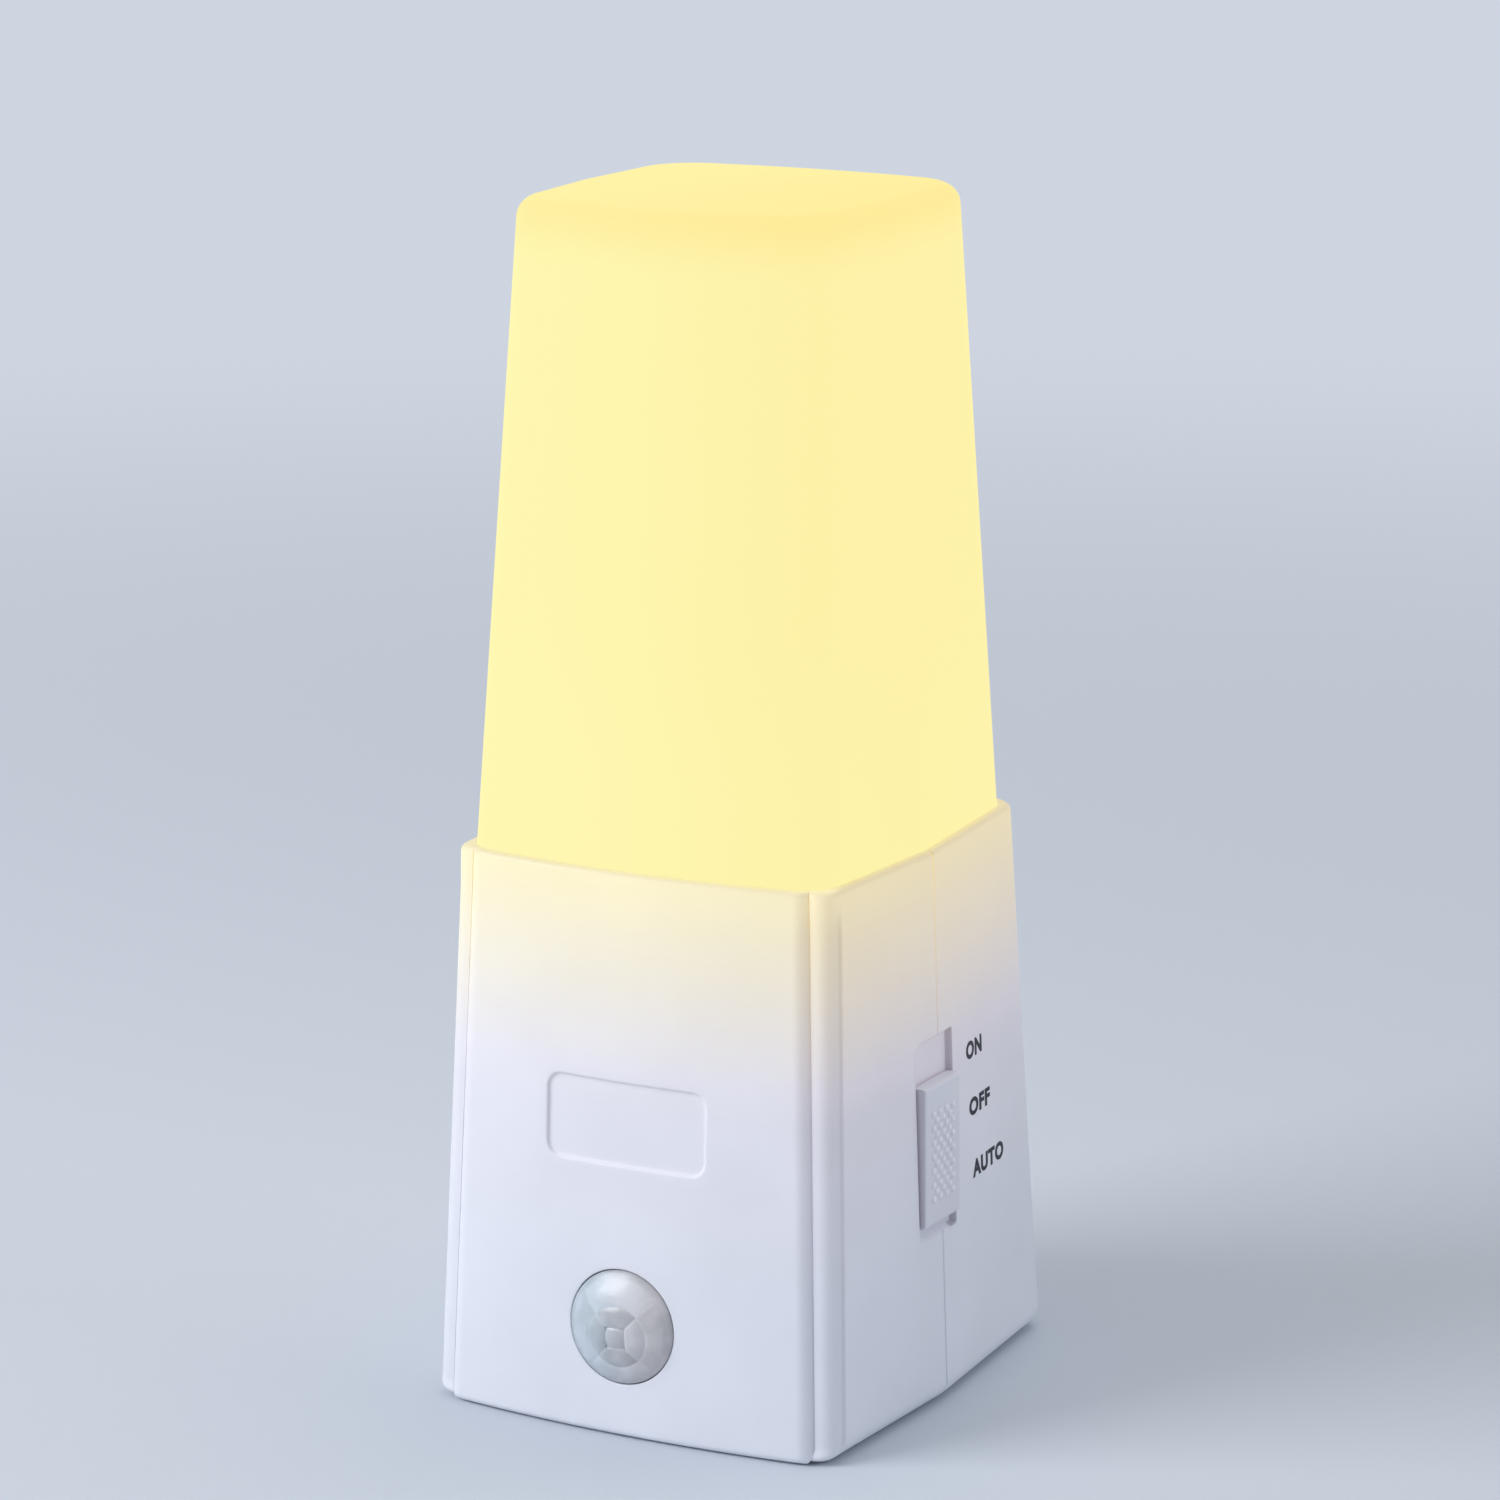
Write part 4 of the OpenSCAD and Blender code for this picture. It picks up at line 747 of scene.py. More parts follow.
def rear_half_blocks(v):
    """Blocks of the rear half: side walls, rounded corners and the rear face with the door's opening, and the
    shade of each point."""
    bay = rear_frame(v)
    tilt = v.rear_lean
    grow = 1.0
    edge = np.array([-0.012, 0.012])
    ups = np.array([bay.open_low, bay.open_top, bay.half_z, -bay.half_z, bay.hinge_z,
                    bay.hinge_z - TAB_UP, bay.hinge_z + TAB_UP])
    ups = np.concatenate([ups, ups + grow, ups - grow])
    marks = (bay.z + ups[:, None] * math.cos(tilt) + edge).ravel()
    marks = marks[(marks > MEET_Z + 0.1) & (marks < v.base_h - 1)]
    side_z, side_in, _, _, out, inner_z = base_rows(v, np.concatenate([switch_rows(v), marks]))
    rows = len(side_z)
    seam_end, near, stem_columns = seam_columns(v, 1, STEM_REAR)
    xs = np.array([bay.open_half, bay.half_x, TAB_X - TAB_HALF, TAB_X + TAB_HALF])
    xs = np.concatenate([xs, xs + grow, xs - grow])
    xs = (xs[:, None] + edge).ravel()
    xs = lines(xs, -xs, np.linspace(-REAR_FLAT, REAR_FLAT, 50))
    xs = xs[np.abs(xs) <= REAR_FLAT + 1e-4][::-1]
    run, turn = np.linspace(0, 1, 15)[1:], np.linspace(0, 1, 13)

    def sheet(z, inset, r, soft):
        half_far = seam_half(v, z) - v.rear_draw - inset
        dist = rear_dist(v, z) - inset
        corner_y = dist - r
        y_side = np.concatenate([np.broadcast_to(near, (rows, len(near))),
                                 SIDE_NEAR + (corner_y - SIDE_NEAR) * run[:-1]], 1)
        x_side = side_x(v, y_side, z, inset, v.rear_draw, seam_end, corner_y)
        x_side = x_side - soft * np.clip(1 - (y_side - seam_end) / v.seam_soft, 0, 1) ** 2
        flat = half_far - r
        begin = np.arcsin(np.clip((REAR_FLAT - flat) / r, 0, 1))
        angle = math.pi / 2 + (begin - math.pi / 2) * turn[:-1]
        x_arc, y_arc = flat + r * np.sin(angle), corner_y + r * np.cos(angle)
        over = np.clip(np.abs(xs) - flat, 0, r)
        y_face = dist - (r - np.sqrt(r * r - over ** 2))
        return x_side, y_side, x_arc, y_arc, np.broadcast_to(xs, y_face.shape), y_face

    def joined(parts, slot, z, depth):
        x_side, y_side, x_arc, y_arc, x_face, y_face = parts
        right = slotted_x(v, x_side, y_side, z) if slot else x_side
        plan = np.stack([np.concatenate([right, x_arc, x_face, -x_arc[:, ::-1], -x_side[:, ::-1]], 1),
                         np.concatenate([y_side, y_arc, y_face - depth * math.cos(tilt), y_arc[:, ::-1],
                                         y_side[:, ::-1]], 1)], -1)
        height = np.broadcast_to(z, plan.shape[:2]).copy()
        start = x_side.shape[1] + x_arc.shape[1]
        height[:, start:start + x_face.shape[1]] -= depth * math.sin(tilt)
        return plan, height

    up_outer = (side_z - bay.z) / math.cos(tilt)
    flat_rows = (out >= 1) & (side_in <= 0)
    outer_depth = np.where(flat_rows, rear_depth(v, bay, xs, up_outer, 0.0), 0)
    plan, height = joined(sheet(side_z, side_in, v.rear_corner_r, v.seam_soft), True, side_z, outer_depth)
    plan = seam_ends(plan, out, seam_end, seam_half(v, side_z) - side_in)
    outer = np.concatenate([plan, height[..., None]], -1)
    above = inner_z > v.ledge_z
    inset = np.where(above, v.rim_wall, v.wall)
    r = np.where(above, RIM_CORNER_R, v.rear_corner_r - v.wall)
    wanted = rear_depth(v, bay, xs, up_outer, grow)
    inner_depth = np.where(flat_rows & ~above & (wanted > 0), wanted + grow - inset, 0)
    plan, height = joined(sheet(inner_z, inset, r, 0.0), False, inner_z, inner_depth)
    plan = seam_ends(plan, out, seam_end, seam_half(v, inner_z) - inset)
    inner = np.concatenate([plan, height[..., None]], -1)
    solid, none = whole(outer)
    solid[stem_window(v, side_z[:, 0], stem_columns)] = False
    rim = np.broadcast_to(rim_shade(v, side_z), outer.shape[:2])
    shades = rim.copy()
    shades[:, :len(near)] += slot_shade(v, near, side_z)
    return thick_blocks(outer, inner, solid, none, none), np.concatenate([shades.ravel(), rim.ravel()])


# Diffuser

def diffuser_plan(v, t, inset):
    """Closed outline at each share t of the height: drafted sides, rounded corners, bowed front and rear."""
    edge = v.rim_wall + v.dif_gap
    half = v.rim_w / 2 - edge + (v.dif_top_w / 2 - v.rim_w / 2 + edge) * t - inset
    front = v.rim_front - edge + (v.dif_top_front - v.rim_front + edge) * t - inset
    rear = v.rim_rear - edge + (v.dif_top_rear - v.rim_rear + edge) * t - inset
    r = np.maximum(v.dif_corner_r + (v.dif_top_r - v.dif_corner_r) * t - inset, 2)
    rear_bow = v.dif_top_bow * t
    half_front = half - v.front_draw * (1 - 0.2 * t)
    half_rear = half - v.rear_draw - (v.dif_top_draw - v.rear_draw) * t
    run, turn, face = np.linspace(0, 1, 13)[:-1], quarter(12)[:-1], np.linspace(1, -1, 33)[:-1]
    front_y, rear_y = -(front - v.front_bow - r), rear - rear_bow - r
    right_front = [(half + (half_front - half) * run, v.seam_y + (front_y - v.seam_y) * run),
                   (half_front - r + r * np.cos(turn), front_y - r * np.sin(turn))]
    left_front = [(-(half_front - r) - r * np.sin(turn), front_y - r * np.cos(turn)),
                  (-half_front + (half_front - half) * run, front_y + (v.seam_y - front_y) * run)]
    left_rear = [(-half + (half - half_rear) * run, v.seam_y + (rear_y - v.seam_y) * run),
                 (-(half_rear - r) - r * np.cos(turn), rear_y + r * np.sin(turn))]
    right_rear = [(half_rear - r + r * np.sin(turn), rear_y + r * np.cos(turn)),
                  (half_rear + (half - half_rear) * run, rear_y + (v.seam_y - rear_y) * run)]
    pieces = [*right_front, ((half_front - r) * face, -front + v.front_bow * face ** 2), *left_front,
              *left_rear, (-(half_rear - r) * face, rear - rear_bow * face ** 2), *right_rear]
    rows = np.shape(t)[0]
    return [np.concatenate([np.broadcast_to(p, (rows, np.shape(p)[-1])) for p in part], 1)
            for part in zip(*pieces)]


def diffuser_sheet(v, inset, low, top):
    """One wall of the diffuser: straight in the rim, tapering above it, then a round shoulder and crown."""
    edge = max(v.dif_round - inset, 0.2)
    shoulder = quarter(8)[1:]
    z = np.concatenate([np.linspace(low, v.base_h, 6), np.linspace(v.base_h, top - edge, 40)[1:],
                        top - edge + edge * np.sin(shoulder)])
    draw = np.concatenate([np.zeros(len(z) - len(shoulder)), edge * (1 - np.cos(shoulder))])
    t = np.clip((z - v.base_h) / v.dif_h, 0, 1)
    x, y = diffuser_plan(v, t[:, None], (inset + draw)[:, None])
    k = np.linspace(1, 0, 14)[1:, None]
    x = np.concatenate([x, x[-1] * k])
    y = np.concatenate([y, y[-1] * k])
    height = np.concatenate([np.broadcast_to(z[:, None], (len(z), x.shape[1])),
                             np.broadcast_to(top + v.dif_crown * (1 - k * k), (len(k), x.shape[1]))])
    return np.stack([x, y, height], -1)


def diffuser_blocks(v):
    """Outer and inner wall joined along the lower edge, with the two hooks that hold it to the deck."""
    outer = diffuser_sheet(v, 0.0, v.deck_top, v.base_h + v.dif_h)
    inner = diffuser_sheet(v, v.dif_wall, v.deck_top, v.base_h + v.dif_h - v.dif_wall)
    n = outer.shape[1]
    blocks = [(g, quads(len(g), n, wrap=True)) for g in (outer, inner, np.array([outer[0], inner[0]]))]
    hook_x = v.rim_w / 2 - v.rim_wall - v.dif_gap - v.dif_wall - 0.1
    hook_t, catch_t, hook_half = 0.8, 0.6, 3.5
    near, far, low = v.seam_y - hook_half, v.seam_y + hook_half, v.ledge_z - 1.6
    for side in (-1, 1):
        hook = sorted((side * hook_x, side * (hook_x + hook_t)))
        catch = sorted((side * (hook_x - catch_t), side * hook_x))
        blocks.append(box_block((hook[0], near, low), (hook[1], far, v.deck_top + 0.8)))
        blocks.append(box_block((catch[0], near, low), (catch[1], far, v.ledge_z - 0.1)))
    return blocks


# Sensor lens

def lens_cells(v, across, up):
    """Height and painted light and shade of the lens cells: a square in the middle, four cells round it and
    four more outside.
    Each cell bulges with one less the square of its share of the way to its border, and a groove follows
    every border with the bell curve of the distance to it."""
    aside, below = 0.4, 0.85
    across, up = across - aside, up + below
    rho, theta = np.hypot(across, up), np.arctan2(up, across)
    turn = math.radians(2)
    square = np.maximum(np.abs(across * math.cos(turn) + up * math.sin(turn)),
                        np.abs(up * math.cos(turn) - across * math.sin(turn)))
    step = math.pi / 2
    place = (theta - turn) / step
    sector = np.round(place)
    off = place - sector
    middle, ring, edge = 1.4, 4.1, v.lens_d / 2
    inner = (rho - (middle + ring) / 2) / ((ring - middle) / 2)
    outer = (rho - (ring + edge) / 2) / ((edge - ring) / 2)
    share = np.where(square < middle, (rho / 1.6) ** 2,
                     np.where(rho < ring, inner ** 2, outer ** 2) * 0.7 + 1.2 * off ** 2)
    lines_at = np.minimum(np.abs(square - middle), np.abs(rho - ring))
    spoke = np.where(square > middle, rho * np.abs(np.sin((0.5 - np.abs(off)) * step)), 9.0)
    border = np.minimum(lines_at, spoke)
    height = v.facet_bulge * (0.5 - share) - v.facet_groove * np.exp(-(border / 0.2) ** 2)
    which = np.mod(sector, 4).astype(int)
    # Painted light and shade: each cell is lit to its own level, as its facet catches the light, with a
    # painted highlight along every border.
    inner_tones, outer_tones = np.array([0.76, 0.46, 0.4, 0.44]), np.array([0.58, 0.95, 0.7, 0.72])
    tone = np.where(square < middle, 0.62, np.where(rho < ring, inner_tones[which], outer_tones[which]))
    return height, tone + 0.14 * np.exp(-(border / 0.16) ** 2)


def lens_blocks(v):
    """A dome of lens cells on a collar and flange, turned about the lens axis, square to the front face."""
    r = v.lens_d / 2
    ball = (r * r + v.lens_rise ** 2) / (2 * v.lens_rise)
    edge, edge_turn, dome_rings = 0.35, quarter(6)[1:], 60
    rho = np.concatenate([np.linspace(0, r - edge, dome_rings), r - edge * (1 - np.sin(edge_turn))])
    dome = v.lens_rise - ball + np.sqrt(np.maximum(ball ** 2 - rho ** 2, 0))
    dome = dome - np.concatenate([np.zeros(dome_rings), edge * (1 - np.cos(edge_turn))])
    seat, flange_t, flange_r = v.panel_step + v.wall + 0.7, 0.9, r + 1.3
    inner_r = r - v.lens_t
    rho_in = np.linspace(inner_r, 0, 24)
    ball_in = ball - v.lens_t
    dome_in = v.lens_rise - ball + np.sqrt(np.maximum(ball_in ** 2 - rho_in ** 2, 0))
    radius = np.concatenate([rho, [r, flange_r, flange_r, inner_r], rho_in])
    out = np.concatenate([dome, [-seat, -seat, -seat - flange_t, -seat - flange_t], dome_in])
    turn = np.linspace(0, 2 * math.pi, 193)[:-1]
    across, up = radius[:, None] * np.cos(turn), radius[:, None] * np.sin(turn)
    cells, tone = lens_cells(v, across, up)
    on_dome = (np.arange(len(radius)) < len(rho))[:, None] * ease((r - 0.3 - radius) / 0.9)[:, None]
    height = out[:, None] + on_dome * cells
    lean_c, lean_s = math.cos(v.front_lean), math.sin(v.front_lean)
    points = np.stack([across, -front_dist(v, v.lens_z) - height * lean_c + up * lean_s,
                       v.lens_z + height * lean_s + up * lean_c], -1)
    return [(points, quads(len(radius), len(turn), wrap=True))], tone * on_dome + 0.5 * (1 - on_dome)


# Switch knob and words

# Each word, where it begins and ends along the side, and the height of its foot
WORDS = (("ON", 8.7, 14.1, 44.2), ("OFF", 9.3, 16.5, 36.3), ("AUTO", 9.95, 20.7, 27.7))
# How much bolder the letters are than the font, and their spacing
LETTER_BOLD, LETTER_SPACE = 0.046, 1.12
# How far the middle of the letters lies off the wall, and half of their thickness
LETTER_OFF, LETTER_HALF = 0.012, 0.018


def to_side(v, out, across, up):
    """From the side's own frame, outwards, front to back and up the leaning wall, to the light's frame."""
    c, s = math.cos(v.side_lean), math.sin(v.side_lean)
    return np.stack([seam_half(v, v.slot_z) + out * c - up * s, v.seam_y + across + 0 * out,
                     v.slot_z + out * s + up * c], -1)


def knob_blocks(v):
    """A pad with rolled edges and staggered bumps, over a flat back, with its stem, and each point's shade.
    The height is the pad, falling evenly towards its lower end, less the edge rolls plus a cap at the nearest
    point of a staggered lattice of seven columns."""
    half_y, half_z, middle = v.slot_w / 2 - v.knob_gap, v.knob_l / 2, -v.knob_travel / 2
    end_round, last = 0.5, 6
    side_near, end_near = v.knob_edge * (1 - np.cos(quarter(8))), end_round * (1 - np.cos(quarter(5)))
    y = lines(np.linspace(-half_y, half_y, 111), half_y - side_near, -half_y + side_near)
    z = lines(np.linspace(-half_z, half_z, 211), half_z - end_near, -half_z + end_near)
    yy, zz = np.meshgrid(y, z)
    side_roll = round_in(half_y - np.abs(yy), v.knob_edge)
    roll = side_roll + round_in(half_z - np.abs(zz), end_round)
    step_y, step_z = 0.91, 1.93
    middle_column, drop = 3.19, 0.06
    field = yy / step_y + middle_column
    column = np.round(np.clip(field, 0, last))
    odd = np.mod(column, 2)
    level = (zz + drop) / step_z + last / 2 - 0.5 * odd
    away = np.hypot((field - column) * step_y, (level - np.round(np.clip(level, 0, last - odd))) * step_z)
    cap = v.bump_h * np.sqrt(np.clip(1 - (away / v.bump_r) ** 2, 0, 1))
    top = v.knob_out - v.knob_fall * (half_z - zz) / v.knob_l - roll + cap
    back = -v.slot_d + 0.25
    outer = to_side(v, np.maximum(top, back + 0.3), yy - v.slot_shift, zz + middle)
    inner = to_side(v, np.full_like(top, back), yy - v.slot_shift, zz + middle)
    # Painted shade: the face darkens away from the tips of the bumps, which stand out as painted highlights,
    # and is a little lighter towards the upper end; a ring of painted shade lies round the foot of each bump,
    # and the front edge is shaded darkest.
    share = away / v.bump_r
    face = (0.26 - 0.05 * ease(zz / half_z)) * ease((share - 0.6) / 0.5)
    face += 0.12 * ease(share - 0.6) * ease(3.4 - 2 * share)
    wall = 0.6 * ease((side_roll - 0.1) / 0.2) * (yy < 0)
    hidden = 0.27
    solid, none = whole(yy)
    blocks = thick_blocks(outer, inner, solid, none, none)
    stem_in, stem_y, stem_z = 5.6, 1.9, 2.6
    stem, cells = box_block((-stem_in, -stem_y, middle - stem_z), (back + 0.1, stem_y, middle + stem_z))
    blocks.append((to_side(v, *stem.T), cells))
    return blocks, np.concatenate([np.maximum(face, wall).ravel(), np.maximum(hidden, wall).ravel(),
                                   np.full(len(stem), hidden)])


def word_piece(v, word, left, right, base_z, material):
    """One word as thin solid letters on the rear half's side wall, scaled to the space from left to right."""
    curve = bpy.data.curves.new(word, "FONT")
    curve.body = word
    curve.extrude = 0.01
    curve.offset = LETTER_BOLD
    curve.space_character = LETTER_SPACE
    text = bpy.data.objects.new(word, curve)
    bpy.context.scene.collection.objects.link(text)
    bpy.context.view_layer.update()
    mesh = bpy.data.meshes.new_from_object(text.evaluated_get(bpy.context.evaluated_depsgraph_get()))
    bpy.data.objects.remove(text)
    bpy.data.curves.remove(curve)
    co = np.empty(len(mesh.vertices) * 3)
    mesh.vertices.foreach_get("co", co)
    co = co.reshape(-1, 3)
    low, high = co.min(0), co.max(0)
    y = left + (co[:, 0] - low[0]) / (high[0] - low[0]) * (right - left)
    z = base_z + (co[:, 1] - low[1]) / (high[1] - low[1]) * v.letter_h
    seam_end = v.seam_y + v.seam_gap / 2
    corner_y = rear_dist(v, z) - v.rear_corner_r
    x = side_x(v, y, z, 0.0, v.rear_draw, seam_end, corner_y) + LETTER_OFF + np.sign(co[:, 2]) * LETTER_HALF
    mesh.vertices.foreach_set("co", (np.stack([x, y, z], -1) * MM).ravel())
    work = bmesh.new()
    work.from_mesh(mesh)
    bmesh.ops.remove_doubles(work, verts=work.verts, dist=1e-7)
    bmesh.ops.recalc_face_normals(work, faces=work.faces)
    work.to_mesh(mesh)
    work.free()
    mesh.update()
    piece = bpy.data.objects.new("word_" + word.lower(), mesh)
    bpy.context.scene.collection.objects.link(piece)
    piece.data.materials.clear()
    piece.data.materials.append(material)
    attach(piece, "housing")
    return piece


# Finishes

WHITE, BLACK = (1.0, 1.0, 1.0), (0.0, 0.0, 0.0)


def feed(tree, node, inputs):
    """Gives inputs of a node, by name or number, each a socket to link or a value to set."""
    for key, given in inputs.items():
        if isinstance(given, bpy.types.NodeSocket):
            tree.links.new(given, node.inputs[key])
        else:
            node.inputs[key].default_value = given
    return node


def add_node(tree, kind, inputs=None, **settings):
    """A new shader node of a kind, with its settings and its inputs."""
    node = tree.nodes.new("ShaderNode" + kind)
    for key, value in settings.items():
        setattr(node, key, value)
    return feed(tree, node, inputs or {})


def find_node(tree, kind):
    """The first node of a type in a tree."""
    return next(n for n in tree.nodes if n.type == kind)


def new_finish(name):
    """A new material, its node tree, its main shader and its object coordinates."""
    material = bpy.data.materials.new(name)
    material.use_nodes = True
    tree = material.node_tree
    return material, tree, find_node(tree, "BSDF_PRINCIPLED"), add_node(tree, "TexCoord").outputs["Object"]


def add_axes(tree, place):
    """The X, Y and Z of a place."""
    return add_node(tree, "SeparateXYZ", {"Vector": place}).outputs


def add_mapping(tree, place, **inputs):
    """A place moved, turned or stretched."""
    given = {key.title(): value for key, value in inputs.items()}
    return add_node(tree, "Mapping", {"Vector": place, **given}).outputs["Vector"]


def add_noise(tree, place, scale, detail=3.0, stretch=(1, 1, 1)):
    """Noise at a place, stretched along the axes. Scale is in waves per metre."""
    moved = add_mapping(tree, place, scale=stretch)
    return add_node(tree, "TexNoise", {"Vector": moved, "Scale": scale, "Detail": detail}).outputs["Fac"]


def add_tone(tree):
    """The tone of the mesh: its painted light and shade."""
    return add_node(tree, "Attribute", attribute_name="tone").outputs["Fac"]


def add_math(tree, operation, *values):
    """One or two values put through an operation."""
    return add_node(tree, "Math", dict(enumerate(values)), operation=operation).outputs["Value"]


def add_ramp(tree, fac, *stops):
    """A colour ramp with stops of (place, colour)."""
    ramp = add_node(tree, "ValToRGB", {"Fac": fac})
    for i, (place, rgb) in enumerate(stops):
        stop = ramp.color_ramp.elements[i] if i < 2 else ramp.color_ramp.elements.new(place)
        stop.position = place
        stop.color = (*rgb, 1.0)
    return ramp.outputs["Color"]


def add_range(tree, value, from_low, from_high, to_low=0.0, to_high=1.0, kind="SMOOTHSTEP"):
    """A value moved from one range to another, with soft ends or evenly."""
    inputs = {"Value": value, "From Min": from_low, "From Max": from_high,
              "To Min": to_low, "To Max": to_high}
    return add_node(tree, "MapRange", inputs, interpolation_type=kind).outputs["Result"]


def add_mix(tree, kind, fac, first, second):
    """Two colours mixed in a way of blending."""
    inputs = {0: fac, 6: first, 7: second}
    return add_node(tree, "Mix", inputs, data_type="RGBA", blend_type=kind).outputs[2]


def add_bump(tree, shader, height, strength, distance):
    """A bump on the shader's normal."""
    bump = add_node(tree, "Bump", {"Height": height, "Strength": strength, "Distance": distance})
    feed(tree, shader, {"Normal": bump.outputs["Normal"]})


def add_cast(tree, shader, cast):
    """Multiplies the shader's colour by a cast."""
    plain = shader.inputs["Base Color"].links[0].from_socket
    feed(tree, shader, {"Base Color": add_mix(tree, "MULTIPLY", 1.0, plain, cast)})


def shade(rgb, factor):
    """A colour made lighter or darker."""
    return tuple(min(1.0, c * factor) for c in rgb)


def moulded(name, rgb, rough, grain=5200.0):
    """Moulded plastic: faint cloudy colour, uneven sheen and a fine spark-eroded grain."""
    material, tree, shader, place = new_finish(name)
    cloud = add_noise(tree, place, 60.0, 4.0)
    feed(tree, shader, {
        "Base Color": add_ramp(tree, cloud, (0.3, shade(rgb, 0.97)), (0.7, shade(rgb, 1.02))),
        "Roughness": add_range(tree, cloud, 0.3, 0.7, rough - 0.05, rough + 0.06),
        "Specular IOR Level": 0.42})
    add_bump(tree, shader, add_noise(tree, place, grain, 2.0), 0.12, 0.00006)
    return material


def shaded(material):
    """Paints shade onto a plastic: darker where the tone of the mesh marks a crease or a hollow."""
    tree = material.node_tree
    dark = add_ramp(tree, add_tone(tree), (0.0, WHITE), (1.0, (0.5, 0.46, 0.5)))
    add_cast(tree, find_node(tree, "BSDF_PRINCIPLED"), dark)
    return material


def lit_shell(finish, base_h):
    """The base's white plastic with the lamp inside it: a painted glow stands in for light shining through,
    from half way up to the rim and more at the right, and a painted warm cast of that light makes the plastic
    look warmer there. Creases, marked by the tone of the mesh, carry painted shade: they are darker and glow
    less."""
    material = shaded(moulded("moulded_white", tuple(finish.shell), 0.46))
    tree = material.node_tree
    shader = find_node(tree, "BSDF_PRINCIPLED")
    axes = add_axes(tree, find_node(tree, "TEX_COORD").outputs["Object"])
    rise = add_range(tree, axes["Z"], 0.0, base_h * MM, kind="LINEAR")
    # Painted warm cast of the glow on the plastic near the rim.
    add_cast(tree, shader, add_ramp(tree, rise, (0.65, WHITE), (0.98, tuple(finish.rim_warm_light))))
    through = add_ramp(tree, rise, (0.26, BLACK), (1.0, shade(finish.rim_glow, finish.rim_glow_level)),
                       (0.59, shade(finish.wall_glow, finish.wall_glow_level)))
    # Painted shade on the glow: less in the creases, and less towards the left.
    painted_glow_shade = add_ramp(tree, add_tone(tree), (0.0, WHITE), (1.0, (0.2, 0.2, 0.2)))
    right = add_range(tree, axes["X"], 0.0215, 0.0255)
    painted_glow_shade = add_mix(tree, "MULTIPLY", 1.0, painted_glow_shade, add_ramp(tree, right, (0.0, (0.8, 0.78, 0.76)), (1.0, WHITE)))
    feed(tree, shader, {"Emission Color": add_mix(tree, "MULTIPLY", 1.0, through, painted_glow_shade),
                        "Emission Strength": 1.25})
    return material


def lit_diffuser(finish):
    """Lit milky plastic: it glows unevenly, paler near the rim and deeper to the right and at the top, over a
    satin skin."""
    material, tree, shader, place = new_finish("lit_diffuser")
    axes = add_axes(tree, place)
    cloud = add_noise(tree, place, 26.0, 3.0, (1, 1, 0.6))
    rise = add_math(tree, "ADD", add_range(tree, axes["Z"], 0.072, 0.11),
                    add_range(tree, cloud, 0.35, 0.65, -0.35, 0.35))
    tint = add_ramp(tree, rise, (0.0, tuple(finish.glow_edge)), (1.0, tuple(finish.glow)))
    top_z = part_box("diffuser")[1][2]
    top = add_range(tree, axes["Z"], top_z - 0.009, top_z - 0.0006)
    tint = add_mix(tree, "MIX", top, tint, (*finish.glow_top, 1.0))
    right = add_range(tree, axes["X"], -0.018, 0.027)
    deeper = add_ramp(tree, right, (0.0, WHITE), (1.0, (1.0, 0.96, 0.91)))
    feed(tree, shader, {
        "Emission Color": add_mix(tree, "MULTIPLY", 1.0, tint, deeper),
        "Emission Strength": finish.glow_level,
        "Base Color": add_ramp(tree, cloud, (0.3, (0.014, 0.012, 0.007)), (0.7, (0.018, 0.016, 0.009))),
        "Roughness": 0.6,
        "Specular IOR Level": 0.04})
    add_bump(tree, shader, add_noise(tree, place, 3000.0, 2.0), 0.08, 0.00005)
    return material


def milky_lens(finish):
    """Milky lens plastic under a gloss, with fine rings: each lens cell carries painted light and shade from
    the tone of the mesh, and painted light makes the lens cooler to the left and warmer to the right."""
    material, tree, shader, place = new_finish("milky_lens")
    rgb = tuple(finish.lens)
    sway = add_range(tree, add_noise(tree, place, 300.0), 0.35, 0.65, -0.12, 0.12)
    total = add_math(tree, "ADD", add_tone(tree), sway)
    # Painted light: cooler to the left and warmer to the right.
    side = add_range(tree, add_axes(tree, place)["X"], -0.006, 0.006)
    feed(tree, shader, {
        "Base Color": add_ramp(tree, total, (0.2, shade(rgb, 0.72)), (1.0, shade(rgb, 1.22))),
        "Roughness": 0.3,
        "IOR": 1.46,
        "Coat Weight": 0.3,
        "Coat Roughness": 0.15})
    add_cast(tree, shader, add_ramp(tree, side, (0.0, (0.84, 0.95, 1.0)), (1.0, (1.0, 0.96, 0.94))))
    low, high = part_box("pir_lens")
    centred = add_mapping(tree, place, location=-(low + high) / 2)
    wave = add_node(tree, "TexWave", {"Vector": centred, "Scale": 700.0, "Distortion": 0.6},
                    wave_type="RINGS", rings_direction="SPHERICAL")
    add_bump(tree, shader, wave.outputs["Fac"], 0.15, 0.00004)
    return material


def plain_metal(name, rgb, rough):
    """Plated metal with a faint brushed streak and uneven sheen."""
    material, tree, shader, place = new_finish(name)
    streak = add_noise(tree, place, 900.0, 3.0, (1, 1, 0.15))
    feed(tree, shader, {
        "Base Color": add_ramp(tree, streak, (0.3, shade(rgb, 0.8)), (0.7, rgb)),
        "Roughness": add_range(tree, streak, 0.3, 0.7, rough - 0.08, rough + 0.1),
        "Metallic": 1.0})
    add_bump(tree, shader, streak, 0.1, 0.00005)
    return material


def circuit_mask(name, rgb):
    """Solder mask over copper: a pattern of straight tracks showing a little lighter, with a soft gloss."""
    material, tree, shader, place = new_finish(name)
    upright = add_mapping(tree, place, rotation=(math.radians(90), 0, 0))
    brick = add_node(tree, "TexBrick", {
        "Vector": upright, "Scale": 170.0, "Mortar Size": 0.03, "Color1": (*shade(rgb, 0.9), 1),
        "Color2": (*rgb, 1), "Mortar": (*shade(rgb, 1.5), 1)})
    feed(tree, shader, {"Base Color": brick.outputs["Color"], "Roughness": 0.35})
    add_bump(tree, shader, brick.outputs["Fac"], 0.2, 0.00005)
    return material


